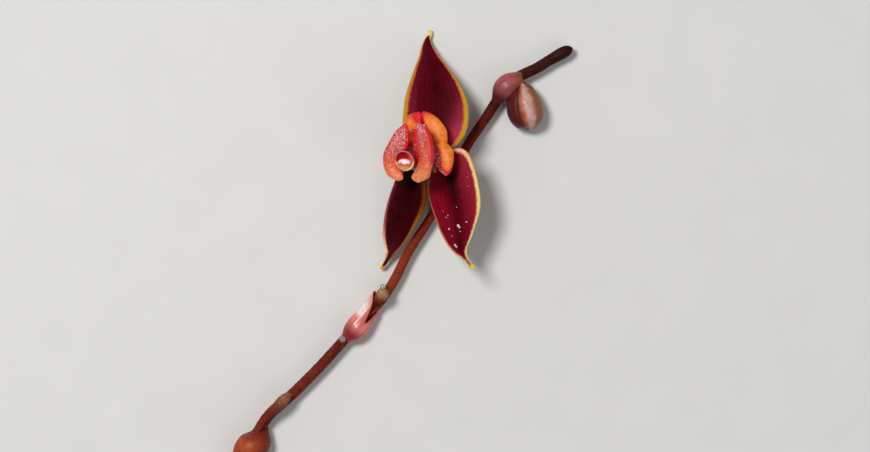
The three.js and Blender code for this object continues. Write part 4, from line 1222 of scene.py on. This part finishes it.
DROPLETS = {
    "rachis_skin": [(-4.435, -9.15, 0.17), (-1.275, -4.53, 0.05)],
    "spent_pedicel_2_skin": [(-2.4, -6.54, 0.17)],
    "lateral_sepal_right_blade": [
        (1.36, -3.42, 0.065), (1.42, -3.51, 0.06), (0.91, -3.6, 0.05), (1.215, -4.4, 0.06),
        (1.28, -4.48, 0.05), (1.77, -3.25, 0.04), (0.76, -3.025, 0.03), (0.85, -2.925, 0.03),
        (1.285, -2.515, 0.025), (1.46, -3.72, 0.03), (1.05, -3.95, 0.025), (0.62, -2.7, 0.02),
        (1.82, -1.0, 0.018), (1.84, -1.45, 0.018),
    ],
    "lip_right_blade": [(-0.335, 1.53, 0.045)],
    "petal_right_blade": [(0.34, 0.12, 0.045), (0.42, -0.06, 0.03), (0.36, -0.2, 0.025)],
}
DROP_RISE = 0.3  # how far a drop's middle stands over the skin, of its radius
LARGE_DROP = 0.1
ABOVE_ALL = 20
DROPS = studding_recipe("drops", "drop", False)


def dew_finish(name, clear):
    drop = Finish(name, coat=(0.5, 0.05), clear=clear, ior=1.33)
    tone = drop.blend((246, 240, 236), (226, 218, 214), drop.noise(0.2))
    return drop.give(tone, drop.noise(0.1), 0.04, 0.12)


small_dew, large_dew = dew_finish("small_dew", 0.25), dew_finish("large_dew", 0.75)
bpy.context.view_layer.update()
for host_name, droplets in DROPLETS.items():
    points, outs, sizes = [], [], []
    for x, y, size in droplets:
        start = to_frame([(x, y, ABOVE_ALL)])[0]
        hit, place, normal, face = bpy.data.objects[host_name].ray_cast(start.tolist(), (0, 0, -1))
        if hit:
            points.append(tuple(place + normal * size * MM * DROP_RISE))
            outs.append(tuple(normal))
            sizes.append(size * MM)
    mesh = bpy.data.meshes.new("drops")
    mesh.from_pydata(points, [], [])
    put_mark(mesh, "out", outs, "FLOAT_VECTOR")
    put_mark(mesh, "size", sizes)
    water = large_dew if droplets[0][2] > LARGE_DROP else small_dew
    drops = made_by(DROPS, placed("drops", mesh), {"Thickness": 1.0, "Spread": 0.0, "Material": water})
    show("dew_on_" + host_name, drops)


# The pale surface that the stem lies on, a soft lamp on either side, a dim even sky and the
# camera, which looks straight down on the stem.

HALF_FLOOR = 0.3
floor_mesh = bpy.data.meshes.new("floor")
corners = [(HALF_FLOOR * a, HALF_FLOOR * b, 0) for a, b in ((-1, -1), (1, -1), (1, 1), (-1, 1))]
floor_mesh.from_pydata(corners, [], [(0, 1, 2, 3)])
floor = placed("floor", floor_mesh)
paper = Finish("floor_paper", specular=0.2)
paper_tone = paper.blend((226, 225, 222), (219, 218, 214), paper.noise(3.0, 3))
floor_mesh.materials.append(paper.give(paper_tone, paper.noise(1.0), 0.8, 0.9))


def soft_light(name, place, width, power):
    lamp_light = bpy.data.lights.new(name, "AREA")
    lamp_light.shape = "DISK"
    lamp_light.size = width
    lamp_light.energy = power
    lamp = bpy.data.objects.new(name, lamp_light)
    lamp.location = place
    lamp.rotation_euler = Vector(-np.array(place)).to_track_quat("-Z", "Y").to_euler()
    bpy.context.collection.objects.link(lamp)


soft_light("key_light", (-0.08, 0.07, 0.22), 0.07, 0.42)
soft_light("fill_light", (0.16, -0.1, 0.18), 0.2, 0.08)
world = bpy.data.worlds.new("studio")
world.use_nodes = True
sky = world.node_tree.nodes["Background"].inputs
sky["Color"].default_value = (1, 1, 1, 1)
sky["Strength"].default_value = 0.25
bpy.context.scene.world = world
bpy.context.scene.view_settings.view_transform = "Standard"

VIEW_MIDDLE = (0.00196, 0.00183)  # what the middle of the photo's frame shows
VIEW_WIDTH = 0.0435
FOCUS_HEIGHT = 0.0025
lens = bpy.data.cameras.new("camera")
lens.lens = 200
lens.sensor_width = 36
lens.clip_start = 0.001
distance = VIEW_WIDTH * lens.lens / lens.sensor_width
camera = bpy.data.objects.new("camera", lens)
camera.location = (*VIEW_MIDDLE, FOCUS_HEIGHT + distance)
bpy.context.collection.objects.link(camera)
bpy.context.scene.camera = camera
